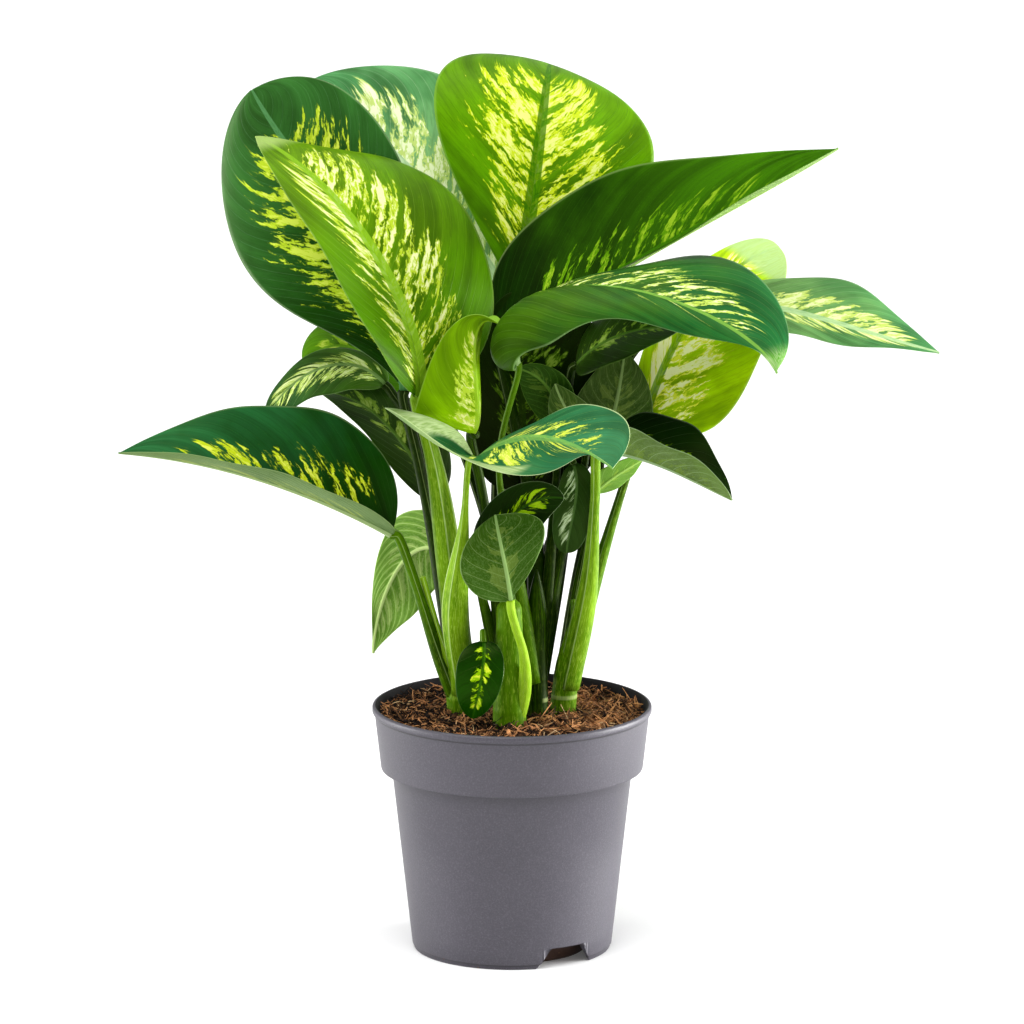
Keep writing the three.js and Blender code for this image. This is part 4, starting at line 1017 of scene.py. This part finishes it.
def stalk_paint(name):
    """Fleshy green stalks, with fine streaks and pale sheath edges; their tone paints light and shade, and
    they are painted darker to the back.
    """
    paint = Paint(name + "_finish", Roughness=0.46, Specular_IOR_Level=0.1, Specular_Tint=linear(GREEN_SHEEN))
    angle, along = paint.uv("stalk")
    place = paint.place()
    tone = paint.own("tone")
    streaks = paint.surface_noise(angle * 4, along * 2.2, 2.0, 3.0, 0.6)
    flecks = paint.surface_noise(angle * 16, along * 16, 5.0, rough=0.6)
    blur = paint.noise(place, 26.0, 2.0)
    sideways, depth, height = [paint.part(place, axis) for axis in (0, 1, 2)]
    # Painted light and shade: the tone makes lit stalks light and shaded ones dark, and stalks further back
    # get painted shade.
    level = tone * 0.79 - depth.step(-0.035, 0.03) * 0.35 + (streaks - 0.5) * 0.7 + (blur - 0.5) * 0.6
    colour = paint.mix(level.step(0.0, 0.5), (10, 30, 0), (68, 108, 0))
    colour = paint.mix(level.step(0.4, 1.15), colour, (136, 178, 26))
    colour = paint.mix((flecks + tone * 0.1).step(0.62, 0.68) * (tone * 0.45 + 0.03), colour, (168, 198, 70))
    colour = paint.mix((1 - flecks).step(0.62, 0.7) * 0.35, colour, (52, 96, 4))
    lip = 1 - abs(abs(angle) - LIP_ANGLE).step(0.03, 0.11)
    colour = paint.mix(lip * paint.own("open") * (tone * 0.45 + 0.12), colour, (190, 212, 140))
    ring = (SOIL_TOP + CANE_RINGS[0]) * MM
    scar = (1 - abs((height - ring) * 1000).step(0.6, 1.8)) * sideways.step(0.018, 0.02)
    colour = paint.mix(scar * 0.4, colour, (186, 200, 130))
    foot = 1 - height.step(SOIL_TOP * MM - 0.0015, SOIL_TOP * MM + 0.0065)
    colour = paint.mix(foot * 0.6, colour, (84, 84, 26))
    paint.set("Base Color", colour)
    paint.bump(streaks * 0.6 + flecks * 0.3, 0.3, 0.0006)
    return paint


def pot_paint():
    """Matte plastic with a fine grain, dirt at the foot, and painted shade: dark crease lines, a band under
    the collar and the inner wall.
    """
    paint = Paint("pot_plastic_finish", Roughness=0.5, Specular_IOR_Level=0.5)
    place = paint.place()
    height = paint.part(place, 2)
    grain = paint.noise(place, 1000.0, 3.0, 0.7)
    cloud = paint.noise(place, 16.0, 3.0, 0.6)
    colour = paint.mix(cloud.step(0.3, 0.75) * 0.6, (61, 58, 67), (72, 69, 78))
    colour = paint.mix(grain.step(0.45, 0.75) * 0.34, colour, (106, 102, 112))
    colour = paint.mix((1 - grain).step(0.55, 0.7) * 0.34, colour, (52, 50, 58))
    speck = paint.noise(place, 260.0, 2.0, 0.5).step(0.70, 0.74)
    # Painted shade: dark lines in the creases under the lip and where the body meets the foot.
    for shaded_crease in (POT_HEIGHT - 5.1, FOOT_HEIGHT + 0.1):
        line = 1 - abs((height - shaded_crease * MM) * 1000).step(0.2, 0.75)
        colour = paint.mix(line * 0.75, colour, (26, 24, 28))
    # Painted shadow: a darker band just under the collar's step.
    below = (COLLAR_LOW - 0.4) * MM
    shade = height.step(below - 0.014, below) * (1 - height.step(below, below + 0.0008))
    colour = paint.mix(shade * shade * 0.5, colour, (40, 38, 44))
    foot = 1 - height.step(0.0028, 0.0045)
    colour = paint.mix(speck * foot, colour, (86, 58, 40))
    radial = paint.node("ShaderNodeVectorMath", dict(operation="MULTIPLY"), place, (1, 1, 0))
    radius = paint.node("ShaderNodeVectorMath", dict(operation="LENGTH"), radial, out=1)
    inside_foot = 1 - radius.step(0.0575, 0.0583)
    within = inside_foot * (1 - height.step((SHELF_HEIGHT + 0.5) * MM, (SHELF_HEIGHT + 1) * MM))
    colour = paint.mix(within, colour, paint.mix(speck, (58, 36, 24), (96, 70, 52)))
    # Painted shade: the inner wall above the soil is near black, as the recess there lies in shade.
    inner_taper = 0.1214
    outwards = (radius - height * inner_taper).step(0.0645, 0.0651)
    shaded_inner_wall = height.step(COLLAR_LOW * MM, (COLLAR_LOW + 2) * MM) * (1 - outwards)
    colour = paint.mix(shaded_inner_wall, colour, (14, 12, 14))
    paint.set("Base Color", colour)
    paint.set("Roughness", cloud * 0.14 + 0.42 + shaded_inner_wall * 0.5)
    paint.bump(grain, 0.3, 0.0003)
    return paint


def soil_paint():
    """Dark peat with red-brown crumbs and pale specks."""
    paint = Paint("soil_finish", Roughness=0.95, Specular_IOR_Level=0.2)
    place = paint.place()
    crumbs = paint.noise(place, 260.0, 4.0, 0.7)
    large = paint.noise(place, 60.0, 2.0)
    colour = paint.mix(crumbs.step(0.35, 0.7), (9, 5, 3), (84, 48, 30))
    colour = paint.mix(large.step(0.45, 0.7) * 0.5, colour, (62, 36, 24))
    colour = paint.mix(paint.noise(place, 700.0, 1.0).step(0.72, 0.76) * 0.6, colour, (150, 116, 88))
    paint.set("Base Color", colour)
    paint.bump(crumbs, 0.9, 0.0016)
    return paint


def fibre_paint():
    """Coir shreds from dark brown to tan, each its own tone, in clumps, and paler on the right."""
    paint = Paint("fibre_finish", Roughness=0.9, Specular_IOR_Level=0.2)
    tone = paint.own("tone")
    place = paint.place()
    paler_right = paint.part(place, 0).step(0.0, 0.06)
    clumps = paint.noise(place, 55.0, 2.0, 0.5)
    light = tone * tone + paler_right * 0.25 + (clumps - 0.5) * 1.2
    colour = paint.mix(light.step(0.1, 1.0), (16, 8, 5), (224, 158, 104))
    colour = paint.mix(tone.step(0.93, 0.97), colour, (206, 170, 126))
    colour = paint.mix(paint.noise(place, 420.0, 2.0).step(0.4, 0.7) * 0.45, colour, (40, 22, 14))
    paint.set("Base Color", colour)
    return paint


def dressed(piece, slot, *nodes):
    """Puts a piece on the root body in place of its nodes."""
    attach(piece, "root")
    if nodes:
        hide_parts(*nodes)


def build_plant():
    """Each blade with its own finish, then the shoots, which share one."""
    for number, (name, leaf) in enumerate(LEAVES.items()):
        paint = leaf_paint(name, leaf, 1 + number)
        dressed(blade(name + "_blade", leaf, paint), leaf["slot"], name)
    stalks = stalk_paint("stalk")
    for name in SHOOTS:
        dressed(shoot(name, stalks), "stem_green", name)


def build_pot():
    """The pot, the soil in it, and the loose shreds and chips on the soil."""
    dressed(pot_body(pot_paint()), "pot_plastic", "pot")
    dressed(soil_plug(soil_paint()), "potting_soil", "soil")
    shreds = fibre_paint()
    thin = dict(count=3000, length=(6, 22), girth=(0.25, 0.6), seed=11, lift=0.9, sides=3)
    thick = dict(count=420, length=(3, 9), girth=(0.7, 1.7), seed=23, lift=0.2, sides=5)
    for name, values in (("soil_fibres", thin), ("soil_chips", thick)):
        dressed(fibres(name, shreds, **values), "potting_soil")


def turned_to(place, target):
    """The turn of a lamp or camera at one place that looks at another."""
    return (Vector(target) - Vector(place)).to_track_quat("-Z", "Y").to_euler()


def lamp(name, kind, place, target, power, **settings):
    """A lamp at its place that looks at its target."""
    light = bpy.data.lights.new(name, kind)
    light.energy = power
    for key, value in settings.items():
        setattr(light, key, value)
    made = bpy.data.objects.new(name, light)
    made.location = place
    made.rotation_euler = turned_to(place, target)
    bpy.context.scene.collection.objects.link(made)


def build_studio():
    """A white floor and world, a soft high sun, three soft lamps, and the camera in front, a little above.

    All but the floor is placed in metres.
    """
    floor_paint = Paint("floor_white", Roughness=0.9, Specular_IOR_Level=0.1, Emission_Strength=0.06,
                        Base_Color=linear((234, 234, 234)), Emission_Color=(1, 1, 1, 1))
    floor_half = 9000
    corners = np.array([(-1, -1, 0), (1, -1, 0), (1, 1, 0), (-1, 1, 0)], float) * floor_half
    mesh_of("studio_floor", corners, [[0, 1, 2, 3]], floor_paint)
    scene = bpy.context.scene
    scene.world = bpy.data.worlds.new("studio")
    scene.world.use_nodes = True
    sky = scene.world.node_tree.nodes["Background"].inputs
    sky["Color"].default_value = (1, 1, 1, 1)
    sky["Strength"].default_value = 0.62
    among_leaves = (0, 0, 0.3)
    lamp("high_window", "SUN", (-0.24, -0.5, 1.3), (0, 0, 0), 2.8, angle=math.radians(50))
    lamp("top", "AREA", (0.3, 0.3, 2.3), among_leaves, 7, size=0.8)
    lamp("left_panel", "AREA", (-1.5, 0.2, 0.14), among_leaves, 26, size=0.7)
    lamp("right_panel", "AREA", (1.5, 0.2, 0.14), among_leaves, 68, size=0.7)
    away, lift, view_width = 5, math.radians(12.2), 0.6195
    lens = bpy.data.cameras.new("camera")
    lens.sensor_width = 36
    lens.lens = lens.sensor_width * away / view_width
    camera = bpy.data.objects.new("camera", lens)
    target = Vector((0, 0, 0.2705))
    camera.location = target + Vector((0, -away * math.cos(lift), away * math.sin(lift)))
    camera.rotation_euler = turned_to(camera.location, target)
    scene.collection.objects.link(camera)
    scene.camera = camera
    scene.view_settings.view_transform = "Standard"


build_plant()
build_pot()
build_studio()
